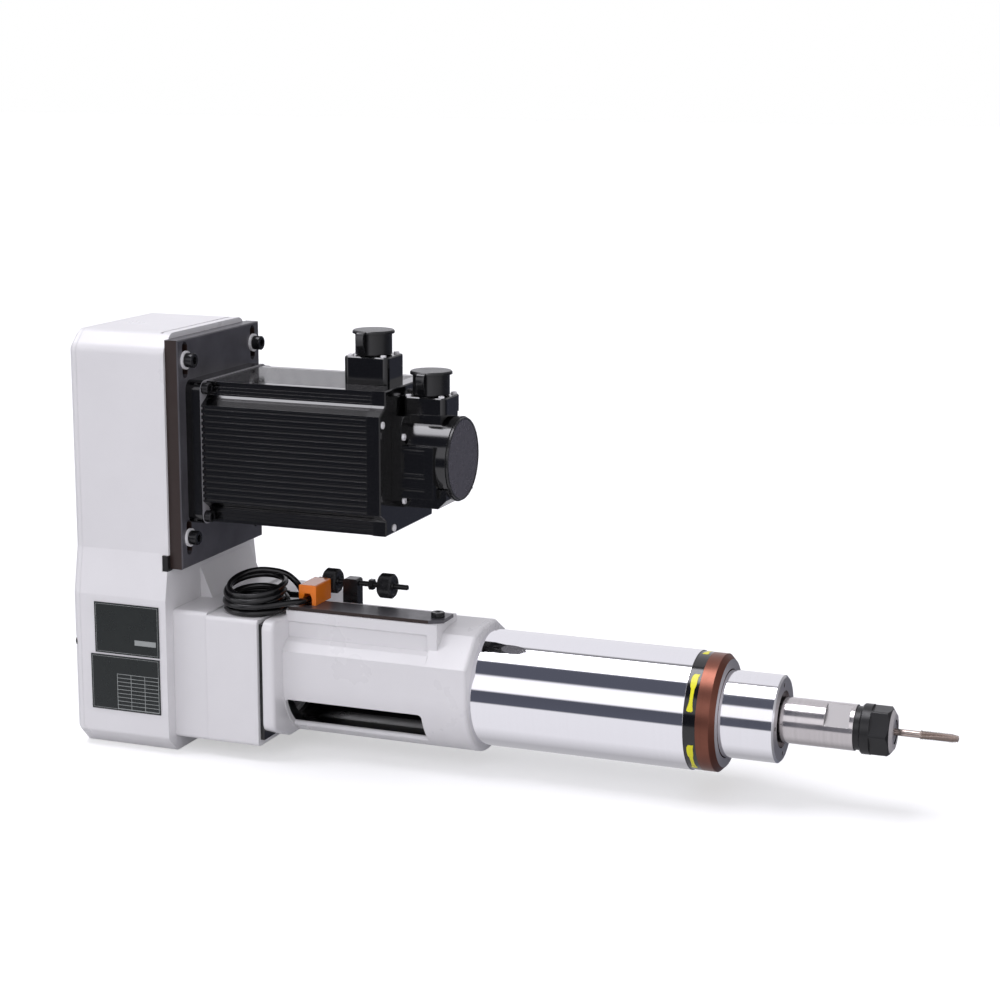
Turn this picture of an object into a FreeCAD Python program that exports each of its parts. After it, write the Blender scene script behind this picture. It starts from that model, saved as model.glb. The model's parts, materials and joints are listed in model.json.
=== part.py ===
import FreeCAD, Part
import math
import os
import Sketcher

# Servo drilling and tapping head. The origin is on the spindle axis, at the front face of the
# cast quill body, where the round clamping barrel starts. +X runs along the spindle to the tool,
# +Z is up and the servo motor stands above the spindle. Millimetres.

SIZES = [
    # round barrel and quill
    ("barrel_rad", 40.0),
    ("barrel_bore", 29.05),
    ("barrel_in", 30.0),
    ("band_start", 149.1),
    ("socket_relief", 0.6),
    ("band_deep", 1.4),
    ("band_sink", 0.6),
    ("ring_start", 157.2),
    ("ring_end", 169.5),
    ("ring_spigot_deep", 6.0),
    ("ring_spigot_end", 165.0),
    ("ring_bore", 29.6),
    ("ring_chamfer", 3.4),
    ("edge_break", 0.8),
    ("fit", 0.05),
    ("quill_rad", 29.0),
    ("quill_back", -125.0),
    ("quill_front", 206.5),
    ("quill_bore", 14.0),
    ("front_seat_rad", 25.0),
    ("front_seat_start", 186.0),
    ("front_bearing_len", 14.0),
    ("lock_ring_rad", 27.0),
    ("lock_ring_start", 200.0),
    ("lock_ring_bore", 19.0),
    ("lock_hole_pitch", 23.2),
    ("lock_hole_rad", 1.5),
    ("lock_hole_deep", 3.0),
    ("lock_hole_count", 4.0),
    ("lock_chamfer", 1.2),
    ("rear_seat_rad", 24.0),
    ("rear_seat_end", -113.0),
    ("rear_bearing_bore", 12.5),
    # spindle and tool holder
    ("spindle_rad", 15.15),
    ("spindle_front", 255.0),
    ("spindle_step", 186.4),
    ("spindle_mid_rad", 12.45),
    ("spline_step", -127.0),
    ("spline_rad", 10.4),
    ("spline_tip_rad", 11.15),
    ("spline_count", 6.0),
    ("spline_half", 2.4),
    ("spline_back", -262.0),
    ("nose_thread_rad", 12.6),
    ("nose_thread_end", 270.0),
    ("socket_mouth_rad", 10.6),
    ("socket_end_rad", 6.6),
    ("socket_start", 240.0),
    ("flat_start", 236.1),
    ("flat_end", 252.4),
    ("flat_half", 12.3),
    ("flat_angle", 42.0),
    ("groove_rad", 14.3),
    ("groove_end", 258.9),
    ("nut_front", 280.0),
    ("nut_rad", 16.5),
    ("nut_hex_start", 265.5),
    ("nut_hex_half", 14.6),
    ("nut_face_rad", 11.6),
    ("nut_taper_start", 276.4),
    ("nut_bore", 12.65),
    ("nut_bore_end", 271.0),
    ("nut_mouth_rad", 8.0),
    ("collet_back", 244.0),
    ("collet_back_rad", 6.6),
    ("collet_big_rad", 10.0),
    ("collet_big_start", 266.0),
    ("collet_big_end", 270.5),
    ("collet_face_rad", 7.6),
    ("collet_front", 279.4),
    ("collet_bore", 2.3),
    ("collet_slot_half", 0.35),
    ("collet_slot_start", 256.0),
    ("collet_slot_count", 6.0),
    ("tap_back", 254.0),
    ("tap_shank_rad", 2.25),
    ("tap_thread_start", 296.3),
    ("tap_rad", 3.0),
    ("tap_tip", 320.6),
    ("tap_point_rad", 2.1),
    ("tap_point_len", 3.0),
    ("tap_core_rad", 1.35),
    ("tap_flute_rad", 1.55),
    ("tap_flute_pitch", 2.9),
    # cast quill body
    ("body_flange_back", -145.0),
    ("body_flange_front", -136.4),
    ("body_nose_back", -31.0),
    ("body_half", 45.0),
    ("body_shoulder", 22.7),
    ("body_waist_y", -39.4),
    ("body_waist_z", 28.6),
    ("body_channel_y", -34.4),
    ("body_channel_low", 30.4),
    ("body_channel_high", 40.9),
    ("body_rail_y", -35.9),
    ("body_rail_low", 42.2),
    ("body_rail_top", 49.6),
    ("body_rail_far", -1.0),
    ("body_top", 44.4),
    ("body_top_far", 13.5),
    ("body_far_y", 30.0),
    ("body_far_z", 34.4),
    ("body_far_shoulder", 18.0),
    ("nose_near_y", -26.0),
    ("nose_near_z", 41.7),
    ("nose_top_y", -14.0),
    ("rail_end", -24.5),
    ("body_cavity_rad", 34.5),
    ("body_cavity_start", -137.0),
    ("flange_half", 58.5),
    ("flange_low", -31.0),
    ("flange_bottom_half", 32.0),
    ("flange_bottom", -42.0),
    ("flange_top", 46.0),
    ("flange_corner", 7.0),
    ("flange_round", 2.5),
    ("nose_round", 2.2),
    ("window_lip", 2.0),
    ("window_start", -135.8),
    ("window_end", -33.4),
    ("window_low", -31.5),
    ("window_high", -12.4),
    ("window_corner", 3.0),
    ("slot_y", 8.0),
    ("slot_half", 5.3),
    ("slot_start", -129.0),
    ("slot_end", -44.0),
    ("slot_floor", 20.0),
    # bearing block and gasket
    ("gasket_half", 57.0),
    ("gasket_low", -39.0),
    ("gasket_high", 43.5),
    ("gasket_bore", 35.0),
    ("block_half", 60.0),
    ("block_low", -43.5),
    ("block_high", 46.6),
    ("block_front", -148.0),
    ("block_joint", -187.5),
    ("block_edge", 3.0),
    ("bearing_rad", 31.0),
    ("bearing_bore", 17.55),
    ("bearing_wide", 14.0),
    ("bearing_mid_in", 21.4),
    ("bearing_mid_out", 27.2),
    ("bearing_mid_deep", 1.2),
    ("sleeve_rad", 17.5),
    ("sleeve_bore", 11.5),
    ("sleeve_front", -156.0),
    ("sleeve_back", -272.0),
    ("shaft_clear_rad", 24.0),
    ("front_bearing_seat", -168.0),
    ("rear_bearing_seat", -203.0),
    # belt housing
    ("case_back", -282.0),
    ("case_front", -213.8),
    ("case_half", 62.0),
    ("case_low_half", 68.0),
    ("case_top", 240.0),
    ("case_top_half", 50.5),
    ("case_top_edge", 229.0),
    ("case_flare_top", 88.0),
    ("case_flare_low", 56.0),
    ("case_bottom", -54.5),
    ("case_bottom_half", 56.5),
    ("case_bottom_edge", -43.0),
    ("case_wall", 8.0),
    ("case_top_round", 8.0),
    ("case_low_round", 3.0),
    ("neck_high", 48.0),
    ("neck_low", -44.0),
    ("neck_half", 58.5),
    ("gusset_near", -18.0),
    ("gusset_far", 57.0),
    ("gusset_front", -203.4),
    ("gusset_top", 70.5),
    ("top_groove_x", -221.8),
    ("top_groove_wide", 1.6),
    ("top_groove_deep", 1.2),
    ("pulley_port_rad", 43.0),
    ("cover_back", -288.0),
    ("cover_edge", 3.0),
    ("cover_screw_in", 9.0),
    ("cover_screw_low_in", 5.0),
    ("cover_screw_top", 212.0),
    ("cover_screw_low", 20.0),
    ("cover_tap_rad", 2.0),
    ("cover_hole_rad", 2.3),
    ("cover_screw_len", 14.0),
    ("cover_head_rad", 3.9),
    ("cover_head_len", 2.4),
    ("cover_sink", 2.8),
    ("cover_sink_gap", 0.3),
    ("key_back", -218.0),
    ("key_low", 76.0),
    ("key_high", 87.0),
    ("key_side", -63.6),
    ("key_in", -57.0),
    # nameplates left bare
    ("label_thick", 0.6),
    ("label_a_x", -270.5),
    ("label_a_len", 51.0),
    ("label_a_low", 14.6),
    ("label_a_high", 51.0),
    ("label_b_x", -274.3),
    ("label_b_len", 54.6),
    ("label_b_low", -26.5),
    ("label_b_high", 13.2),
    # motor plate and its screws
    ("plate_front", -204.0),
    ("plate_half", 59.9),
    ("plate_low", 77.4),
    ("plate_high", 236.3),
    ("plate_edge", 0.8),
    ("pilot_rad", 47.5),
    ("pilot_len", 4.0),
    ("slot_wide_rad", 3.5),
    ("slot_reach", 9.0),
    ("screw_y", 49.8),
    ("screw_top_z", 222.0),
    ("screw_low_z", 98.5),
    ("screw_rad", 3.0),
    ("screw_len", 18.5),
    ("screw_head_rad", 5.0),
    ("screw_head_len", 6.0),
    ("screw_key_half", 2.5),
    ("screw_key_deep", 3.0),
    ("washer_rad", 6.4),
    ("washer_bore", 3.2),
    ("washer_thick", 1.6),
    # servo motor
    ("motor_z", 157.9),
    ("motor_half", 49.0),
    ("motor_side", 33.5),
    ("notch_slope_y", 41.5),
    ("notch_slope_z", 38.0),
    ("notch_wall_y", 40.0),
    ("notch_wall_z", 39.5),
    ("notch_rib_pitch", 2.4),
    ("notch_rib_wide", 1.1),
    ("notch_rib_deep", 1.2),
    ("mount_half", 50.0),
    ("mount_corner", 7.0),
    ("mount_front", -193.0),
    ("frame_front", -69.5),
    ("end_front", -59.4),
    ("end_half", 49.4),
    ("fin_wide", 1.7),
    ("fin_deep", 2.2),
    ("fin_pitch", 4.2),
    ("fin_count", 16.0),
    ("motor_bolt", 44.6),
    ("motor_bolt_tap", 2.5),
    ("motor_bolt_hole", 2.8),
    ("shaft_rad", 11.0),
    ("shaft_back", -271.0),
    ("shaft_front", -194.0),
    ("coder_rad", 29.0),
    ("coder_half", 31.0),
    ("coder_block", 31.0),
    ("coder_low", -31.0),
    ("coder_high", 31.0),
    ("coder_cut", 5.0),
    ("coder_plate_front", -52.0),
    ("coder_top_half", 15.0),
    ("coder_top_low", 20.0),
    ("coder_top_front", -30.0),
    ("coder_side_low", -23.5),
    ("coder_side_high", 12.0),
    ("coder_side_front", -26.5),
    ("coder_side_cut", 9.0),
    ("coder_foot_half", 24.0),
    ("coder_foot_top", -18.0),
    ("coder_foot_front", -22.5),
    ("coder_foot_cut", 6.0),
    ("coder_pocket", 7.0),
    ("coder_pocket_end", -36.0),
    ("coder_pocket_deep", 2.0),
    ("coder_slot_wide", 1.8),
    ("coder_slot_a", 9.2),
    ("coder_slot_b", -10.0),
    ("coder_slot_c", -18.5),
    ("coder_front", -21.6),
    ("coder_cap_rad", 28.2),
    ("coder_cap_front", -19.6),
    ("coder_rim", 0.8),
    ("coder_dish", 0.4),
    # connectors
    ("power_x", -85.6),
    ("power_len", 33.0),
    ("power_wide", 29.0),
    ("power_high", 18.8),
    ("power_neck_rad", 12.2),
    ("power_neck_len", 6.0),
    ("power_cap_rad", 12.6),
    ("power_cap_len", 15.0),
    ("power_disc_rad", 14.4),
    ("power_disc_len", 2.2),
    ("signal_x", -43.2),
    ("signal_len", 31.5),
    ("signal_wide", 28.0),
    ("signal_high", 11.5),
    ("signal_neck_rad", 12.2),
    ("signal_neck_len", 5.0),
    ("signal_cap_rad", 12.6),
    ("signal_cap_len", 14.6),
    ("signal_disc_rad", 14.4),
    ("signal_disc_len", 2.2),
    ("cap_hollow", 2.2),
    ("box_corner", 4.0),
    ("box_edge", 0.8),
    # toothed belt drive
    ("belt_start", -266.0),
    ("belt_wide", 25.0),
    ("belt_thick", 3.2),
    ("small_rad", 28.1),
    ("small_teeth", 36.0),
    ("large_rad", 37.6),
    ("large_teeth", 48.0),
    ("tooth_deep", 1.9),
    ("tooth_half", 1.3),
    ("pulley_lip", 3.6),
    ("pulley_side", 2.2),
    ("belt_gap", 0.35),
    # bracket, sensor and trip dogs
    ("bracket_back", -136.5),
    ("bracket_front", -22.5),
    ("bracket_cut", 9.0),
    ("bracket_near", -34.6),
    ("bracket_far", -11.5),
    ("bracket_low", 49.6),
    ("bracket_thick", 2.4),
    ("bracket_screw_a", -29.2),
    ("bracket_screw_b", -125.5),
    ("bracket_screw_y", -22.9),
    ("bracket_screw_rad", 2.45),
    ("bracket_hole_rad", 2.6),
    ("bracket_head_rad", 4.7),
    ("bracket_head_len", 3.6),
    ("bracket_screw_len", 9.0),
    ("sunk_head_rad", 4.4),
    ("sensor_back", -132.0),
    ("sensor_front", -119.0),
    ("sensor_near", -26.5),
    ("sensor_far", -2.4),
    ("sensor_high", 14.2),
    ("sensor_edge", 1.0),
    ("arch_half", 3.4),
    ("arch_high", 8.2),
    ("arch_deep", 9.0),
    ("cable_rad", 2.2),
    ("coil_x", -162.0),
    ("coil_y", -32.0),
    ("coil_in", 14.5),
    ("coil_out", 24.0),
    ("coil_low", 46.65),
    ("coil_front_high", 60.0),
    ("coil_high", 73.5),
    ("plug_rad", 5.0),
    ("plug_body_rad", 4.2),
    ("plug_nut_len", 9.0),
    ("plug_len", 30.0),
    ("plug_x", -182.0),
    ("plug_y", -2.0),
    ("post_back", -112.4),
    ("post_front", -101.2),
    ("post_half", 4.5),
    ("post_top", 65.4),
    ("post_foot", 22.0),
    ("post_round", 2.0),
    ("rod_z", 62.0),
    ("rod_rad", 2.0),
    ("rod_back", -133.0),
    ("rod_front", -64.5),
    ("knob_rad", 8.8),
    ("knob_len", 10.5),
    ("knob_a", -127.5),
    ("knob_b", -85.4),
    ("knob_edge", 1.4),
    ("knob_flute_rad", 1.1),
    ("knob_flutes", 20.0),
    ("rod_nut_x", -93.6),
    ("rod_nut_len", 3.2),
    ("rod_nut_half", 3.5),
]

# the lead's route in plan, chosen by hand, from inside the sensor's arch to inside the coil
LEAD_HEIGHT = 55.5
LEAD_ROUTE = [(-125.5, -17.5), (-125.5, -29.5), (-134.0, -38.0), (-146.0, -38.0)]


class Size:
    """A length that carries its sheet expression together with its present value."""

    def __init__(self, text, value):
        self.text = text
        self.value = float(value)

    def __add__(self, other):
        other = size(other)
        return Size("(%s + %s)" % (self.text, other.text), self.value + other.value)

    def __radd__(self, other):
        return size(other) + self

    def __sub__(self, other):
        other = size(other)
        return Size("(%s - %s)" % (self.text, other.text), self.value - other.value)

    def __rsub__(self, other):
        return size(other) - self

    def __mul__(self, other):
        other = size(other)
        return Size("(%s * %s)" % (self.text, other.text), self.value * other.value)

    def __rmul__(self, other):
        return size(other) * self

    def __truediv__(self, other):
        other = size(other)
        return Size("(%s / %s)" % (self.text, other.text), self.value / other.value)

    def __neg__(self):
        return Size("(-1 * %s)" % self.text, -self.value)


def size(value):
    if isinstance(value, Size):
        return value
    return Size(repr(float(value)), value)


doc = FreeCAD.newDocument("drilling_head")
dims = doc.addObject("Spreadsheet::Sheet", "dims")


class Sheet:
    """Reads a driving dimension by its alias."""


D = Sheet()
for row, (alias, value) in enumerate(SIZES, start=1):
    dims.set("A%d" % row, alias)
    dims.set("B%d" % row, repr(value))
    dims.setAlias("B%d" % row, alias)
    setattr(D, alias, Size("dims.%s" % alias, value))
doc.recompute()

PARTS = []
UP = FreeCAD.Rotation(FreeCAD.Vector(0, 1, 0), -90)
VIEWER = FreeCAD.Rotation(FreeCAD.Vector(0, 0, 1), -90)
BACK = FreeCAD.Rotation(FreeCAD.Vector(0, 0, 1), 180)


def piece(label, x=None, y=None, z=None, turn=None):
    """A body of its own, with its place bound to the sheet."""
    body = doc.addObject("PartDesign::Body", label)
    body.Label = label
    if turn is not None:
        body.Placement = FreeCAD.Placement(FreeCAD.Vector(0, 0, 0), turn)
    for axis, where in (("x", x), ("y", y), ("z", z)):
        if where is not None:
            body.setExpression("Placement.Base.%s" % axis, size(where).text)
    PARTS.append(body)
    return body


def plane_of(body, role):
    for item in body.Origin.OriginFeatures:
        if item.Role == role:
            return item
    raise RuntimeError("no plane " + role)


def sketch(body, role, offset=0.0):
    """A sketch on one of the body's own origin planes, moved along its normal."""
    sk = body.newObject("Sketcher::SketchObject", body.Label + "_profile")
    sk.AttachmentSupport = [(plane_of(body, role), "")]
    sk.MapMode = "FlatFace"
    offset = size(offset)
    sk.AttachmentOffset = FreeCAD.Placement(FreeCAD.Vector(0, 0, offset.value), FreeCAD.Rotation())
    sk.setExpression("AttachmentOffset.Base.z", offset.text)
    return sk


def pin(sk, geo, pos, x, y):
    """Holds a point of the sketch at driven coordinates."""
    for kind, where in (("DistanceX", size(x)), ("DistanceY", size(y))):
        index = sk.addConstraint(Sketcher.Constraint(kind, -1, 1, geo, pos, where.value))
        sk.setExpression("Constraints[%d]" % index, where.text)


def polygon(sk, points):
    points = [(size(x), size(y)) for x, y in points]
    first = None
    count = len(points)
    for i in range(count):
        a = points[i]
        b = points[(i + 1) % count]
        start = FreeCAD.Vector(a[0].value, a[1].value, 0)
        end = FreeCAD.Vector(b[0].value, b[1].value, 0)
        geo = sk.addGeometry(Part.LineSegment(start, end))
        if first is None:
            first = geo
    for i in range(count):
        sk.addConstraint(Sketcher.Constraint("Coincident", first + i, 2, first + (i + 1) % count, 1))
    for i in range(count):
        pin(sk, first + i, 1, points[i][0], points[i][1])


def rectangle(sk, x0, x1, y0, y1):
    polygon(sk, [(x0, y0), (x1, y0), (x1, y1), (x0, y1)])


def circle(sk, x, y, rad):
    x, y, rad = size(x), size(y), size(rad)
    centre = FreeCAD.Vector(x.value, y.value, 0)
    geo = sk.addGeometry(Part.Circle(centre, FreeCAD.Vector(0, 0, 1), rad.value))
    index = sk.addConstraint(Sketcher.Constraint("Radius", geo, rad.value))
    sk.setExpression("Constraints[%d]" % index, rad.text)
    pin(sk, geo, 3, x, y)


def loop(sk, x, low, low_rad, high, high_rad):
    """Two arcs joined by their outer tangents: a slot, or the run of a belt."""
    x, low, low_rad, high, high_rad = (size(v) for v in (x, low, low_rad, high, high_rad))
    lean = math.asin((low_rad.value - high_rad.value) / (high.value - low.value))
    axis = FreeCAD.Vector(0, 0, 1)
    c_low = FreeCAD.Vector(x.value, low.value, 0)
    c_high = FreeCAD.Vector(x.value, high.value, 0)
    arc_low = Part.ArcOfCircle(Part.Circle(c_low, axis, low_rad.value), math.pi - lean, 2 * math.pi + lean)
    arc_high = Part.ArcOfCircle(Part.Circle(c_high, axis, high_rad.value), lean, math.pi - lean)
    g_low = sk.addGeometry(arc_low)
    g_high = sk.addGeometry(arc_high)
    g_right = sk.addGeometry(Part.LineSegment(arc_low.EndPoint, arc_high.StartPoint))
    g_left = sk.addGeometry(Part.LineSegment(arc_high.EndPoint, arc_low.StartPoint))
    sk.addConstraint(Sketcher.Constraint("Tangent", g_low, 2, g_right, 1))
    sk.addConstraint(Sketcher.Constraint("Tangent", g_right, 2, g_high, 1))
    sk.addConstraint(Sketcher.Constraint("Tangent", g_high, 2, g_left, 1))
    sk.addConstraint(Sketcher.Constraint("Tangent", g_left, 2, g_low, 1))
    for geo, rad in ((g_low, low_rad), (g_high, high_rad)):
        index = sk.addConstraint(Sketcher.Constraint("Radius", geo, rad.value))
        sk.setExpression("Constraints[%d]" % index, rad.text)
    pin(sk, g_low, 3, x, low)
    pin(sk, g_high, 3, x, high)


def volume(body):
    return body.Shape.Volume


def pad(body, sk, length, reverse=False):
    feature = body.newObject("PartDesign::Pad", body.Label + "_pad")
    feature.Profile = sk
    length = size(length)
    feature.Length = length.value
    feature.setExpression("Length", length.text)
    feature.Reversed = reverse
    sk.Visibility = False
    doc.recompute()
    return feature


def pocket(body, sk, length=None, reverse=False, both=False):
    before = volume(body)
    feature = body.newObject("PartDesign::Pocket", body.Label + "_pocket")
    feature.Profile = sk
    if length is None:
        feature.Type = 1
    else:
        length = size(length)
        feature.Length = length.value
        feature.setExpression("Length", length.text)
    feature.Reversed = reverse
    feature.Midplane = both
    doc.recompute()
    if not volume(body) < before - 1e-6:
        raise RuntimeError("pocket cuts nothing: " + feature.Label)
    return feature


def revolve(body, sk):
    feature = body.newObject("PartDesign::Revolution", body.Label + "_turned")
    feature.Profile = sk
    feature.ReferenceAxis = (sk, ["H_Axis"])
    feature.Angle = 360
    doc.recompute()
    return feature


def groove(body, sk):
    before = volume(body)
    feature = body.newObject("PartDesign::Groove", body.Label + "_groove")
    feature.Profile = sk
    feature.ReferenceAxis = (sk, ["H_Axis"])
    feature.Angle = 360
    doc.recompute()
    if not volume(body) < before - 1e-6:
        raise RuntimeError("groove cuts nothing: " + feature.Label)
    return feature


def around(body, feature, sk, count):
    """Repeats a feature round the body's own X axis."""
    pattern = body.newObject("PartDesign::PolarPattern", body.Label + "_ring")
    pattern.Originals = [feature]
    pattern.Axis = (plane_of(body, "X_Axis"), [""])
    pattern.Angle = 360
    pattern.setExpression("Occurrences", size(count).text)
    body.Tip = pattern
    doc.recompute()
    return pattern


def along(body, feature, sk, axis, reach, count):
    """Repeats a feature in a straight row along one of the sketch's axes."""
    pattern = body.newObject("PartDesign::LinearPattern", body.Label + "_row")
    pattern.Originals = [feature]
    pattern.Direction = (sk, [axis])
    pattern.setExpression("Length", size(reach).text)
    pattern.setExpression("Occurrences", size(count).text)
    body.Tip = pattern
    doc.recompute()
    return pattern


def edges_where(body, test):
    names = []
    for i, edge in enumerate(body.Shape.Edges, start=1):
        box = edge.BoundBox
        if test(edge, box):
            names.append("Edge%d" % i)
    return names


def soften(body, kind, test, amount):
    """Rounds or bevels the edges of the body's present tip that pass the test."""
    base = body.Tip
    names = edges_where(body, test)
    if not names:
        raise RuntimeError("no edges to soften on " + body.Label)
    feature = body.newObject("PartDesign::" + kind, body.Label + "_" + kind.lower())
    feature.Base = (base, names)
    amount = size(amount)
    prop = "Radius" if kind == "Fillet" else "Size"
    setattr(feature, prop, amount.value)
    feature.setExpression(prop, amount.text)
    doc.recompute()
    return feature


def turned(label, points, **place):
    """A turned piece: a half profile of (axial, radial) points, spun round the body's X axis."""
    body = piece(label, **place)
    sk = sketch(body, "XZ_Plane")
    polygon(sk, points)
    revolve(body, sk)
    return body


def slab(label, x0, x1, y0, y1, z0, z1, **place):
    """A rectangular piece between the given faces."""
    body = piece(label, **place)
    sk = sketch(body, "YZ_Plane", x0)
    rectangle(sk, y0, y1, z0, z1)
    pad(body, sk, size(x1) - x0)
    return body


def hexagon(sk, half):
    """A hexagon across flats of twice the given half width, flats up and down."""
    half = size(half)
    corner = half * 1.1547005
    side = half * 0.57735027
    polygon(sk, [(-corner, 0), (-side, -half), (side, -half), (corner, 0), (side, half), (-side, half)])


def octagon(sk, half, cut):
    inner = size(half) - cut
    polygon(sk, [
        (-inner, -half), (inner, -half), (half, -inner), (half, inner),
        (inner, half), (-inner, half), (-half, inner), (-half, -inner),
    ])


def socket_screw(label, rad, length, head_rad, head_len, key_half, key_deep, **place):
    """A cap screw along X: the head starts at the body's origin and the shank points to -X."""
    body = turned(label, [
        (-length, 0), (-length, rad - 0.4), (0.4 - length, rad), (0, rad), (0, head_rad),
        (head_len - 0.5, head_rad), (head_len, head_rad - 0.5), (head_len, 0),
    ], **place)
    sk = sketch(body, "YZ_Plane", head_len)
    hexagon(sk, key_half)
    pocket(body, sk, key_deep)
    return body


def parallel_to(axis):
    def test(edge, box):
        spans = {"x": box.XLength, "y": box.YLength, "z": box.ZLength}
        others = [spans[k] for k in spans if k != axis]
        return spans[axis] > 1e-3 and max(others) < 1e-6
    return test


# belt housing: the casting that carries the motor plate above and the spindle bearings below
case = piece("belt_housing")
sk = sketch(case, "YZ_Plane", D.case_back)


def case_outline(target, inset):
    low = D.case_low_half - inset
    mid = D.case_half - inset
    polygon(target, [
        (-(D.case_bottom_half - inset * 0.4), D.case_bottom + inset),
        (D.case_bottom_half - inset * 0.4, D.case_bottom + inset),
        (low, D.case_bottom_edge + inset * 0.4), (low, D.case_flare_low),
        (mid, D.case_flare_top), (mid, D.case_top_edge - inset * 0.4),
        (D.case_top_half - inset * 0.4, D.case_top - inset),
        (-(D.case_top_half - inset * 0.4), D.case_top - inset),
        (-mid, D.case_top_edge - inset * 0.4), (-mid, D.case_flare_top),
        (-low, D.case_flare_low), (-low, D.case_bottom_edge + inset * 0.4),
    ])


def case_edges(low, high):
    """The long edges of the casting's outline between two heights, both sides."""
    def test(edge, box):
        level = low.value - 0.1 < box.ZMin and box.ZMax < high.value + 0.1
        return parallel_to("x")(edge, box) and level and abs(box.YMin) > D.case_top_half.value - 0.1
    return test


def cover_spots():
    """Where the four screws of the rear cover sit, as (side way, height)."""
    for side in (-1, 1):
        yield (D.case_low_half - D.cover_screw_low_in) * side, D.cover_screw_low
        yield (D.case_half - D.cover_screw_in) * side, D.cover_screw_top


case_outline(sk, size(0))
pad(case, sk, D.case_front - D.case_back)
sk = sketch(case, "YZ_Plane", D.case_front - 1)
rectangle(sk, -D.neck_half, D.neck_half, D.neck_low, D.neck_high)
pad(case, sk, D.block_joint - D.case_front + 1)
soften(case, "Fillet", lambda e, b: parallel_to("x")(e, b) and b.XMin > D.case_front.value - 2, D.block_edge)
soften(case, "Fillet", case_edges(D.case_top_edge, D.case_top), D.case_top_round)
soften(case, "Fillet", case_edges(D.case_bottom, D.case_bottom_edge), D.case_low_round)
sk = sketch(case, "XZ_Plane", -D.gusset_near)
polygon(sk, [
    (D.case_front - 1, D.neck_high - 3), (D.gusset_front, D.neck_high - 3),
    (D.gusset_front, D.neck_high - 2), (D.case_front, D.gusset_top), (D.case_front - 1, D.gusset_top),
])
pad(case, sk, D.gusset_far - D.gusset_near, reverse=True)
sk = sketch(case, "YZ_Plane", D.case_back)
case_outline(sk, D.case_wall)
pocket(case, sk, D.case_front - D.case_back - D.case_wall, reverse=True)
sk = sketch(case, "YZ_Plane", D.case_front)
circle(sk, 0, D.motor_z, D.pulley_port_rad)
pocket(case, sk, D.case_wall + 1)
sk = sketch(case, "YZ_Plane", D.block_joint)
circle(sk, 0, 0, D.shaft_clear_rad)
pocket(case, sk, D.block_joint - D.case_front + D.case_wall + 1)
sk = sketch(case, "YZ_Plane", D.block_joint)
circle(sk, 0, 0, D.bearing_rad)
pocket(case, sk, D.block_joint - D.rear_bearing_seat)
sk = sketch(case, "YZ_Plane", D.case_front)
for side in (-1, 1):
    for height in (D.screw_low_z, D.screw_top_z):
        circle(sk, D.screw_y * side, height, D.screw_rad + D.fit)
pocket(case, sk, D.case_wall + 1)
sk = sketch(case, "YZ_Plane", D.case_back)
for across, height in cover_spots():
    circle(sk, across, height, D.cover_tap_rad + D.fit)
pocket(case, sk, D.cover_screw_len - 2, reverse=True)
sk = sketch(case, "YZ_Plane", D.top_groove_x)
rectangle(sk, -D.case_top_half, D.case_top_half, D.case_top - D.top_groove_deep, D.case_top + 1)
pocket(case, sk, D.top_groove_wide, reverse=True)
sk = sketch(case, "YZ_Plane", D.key_back)
rectangle(sk, D.key_side - 2, D.key_in, D.key_low, D.key_high)
pocket(case, sk, D.case_front - D.key_back + 1, reverse=True)

cover = piece("rear_cover")
sk = sketch(cover, "YZ_Plane", D.cover_back)
case_outline(sk, size(0))
pad(cover, sk, D.case_back - D.cover_back)
soften(cover, "Fillet", case_edges(D.case_top_edge, D.case_top), D.case_top_round)
soften(cover, "Fillet", case_edges(D.case_bottom, D.case_bottom_edge), D.case_low_round)
soften(cover, "Chamfer", lambda e, b: b.XMax < D.cover_back.value + 0.1, D.cover_edge)
sk = sketch(cover, "YZ_Plane", D.case_back)
for across, height in cover_spots():
    circle(sk, across, height, D.cover_hole_rad)
pocket(cover, sk, D.case_back - D.cover_back + 1)
sk = sketch(cover, "YZ_Plane", D.cover_back)
for across, height in cover_spots():
    circle(sk, across, height, D.cover_head_rad + D.cover_sink_gap)
pocket(cover, sk, D.cover_sink, reverse=True)

for number, (across, height) in enumerate(cover_spots(), start=1):
    socket_screw(
        "cover_screw_%d" % number, D.cover_tap_rad, D.cover_screw_len, D.cover_head_rad,
        D.cover_head_len, size(1.25), size(1.4), turn=BACK,
        x=D.cover_back + D.cover_sink, y=across, z=height,
    )

slab("side_key", D.key_back, D.case_front, D.key_side, D.key_in, D.key_low, D.key_high)

for label, x0, length, low, high in (
    ("name_plate_upper", D.label_a_x, D.label_a_len, D.label_a_low, D.label_a_high),
    ("name_plate_lower", D.label_b_x, D.label_b_len, D.label_b_low, D.label_b_high),
):
    slab(label, x0, x0 + length, -(D.case_low_half + D.label_thick), -D.case_low_half, low, high)

# motor plate: slides up and down on four slots to set the belt tension
plate = piece("motor_plate")
sk = sketch(plate, "YZ_Plane", D.case_front)
rectangle(sk, -D.plate_half, D.plate_half, D.plate_low, D.plate_high)
pad(plate, sk, D.plate_front - D.case_front)
soften(plate, "Chamfer", lambda e, b: b.XMin > D.plate_front.value - 0.1, D.plate_edge)
sk = sketch(plate, "YZ_Plane", D.plate_front)
circle(sk, 0, D.motor_z, D.pilot_rad + D.fit)
pocket(plate, sk)
sk = sketch(plate, "YZ_Plane", D.plate_front)
for side in (-1, 1):
    for height in (D.screw_low_z, D.screw_top_z):
        centre = D.screw_y * side
        loop(sk, centre, height - D.slot_reach, D.slot_wide_rad, height + D.slot_reach, D.slot_wide_rad)
pocket(plate, sk)
sk = sketch(plate, "YZ_Plane", D.plate_front)
for side in (-1, 1):
    for rise in (-1, 1):
        circle(sk, D.motor_bolt * side, D.motor_z + D.motor_bolt * rise, D.motor_bolt_tap)
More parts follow.
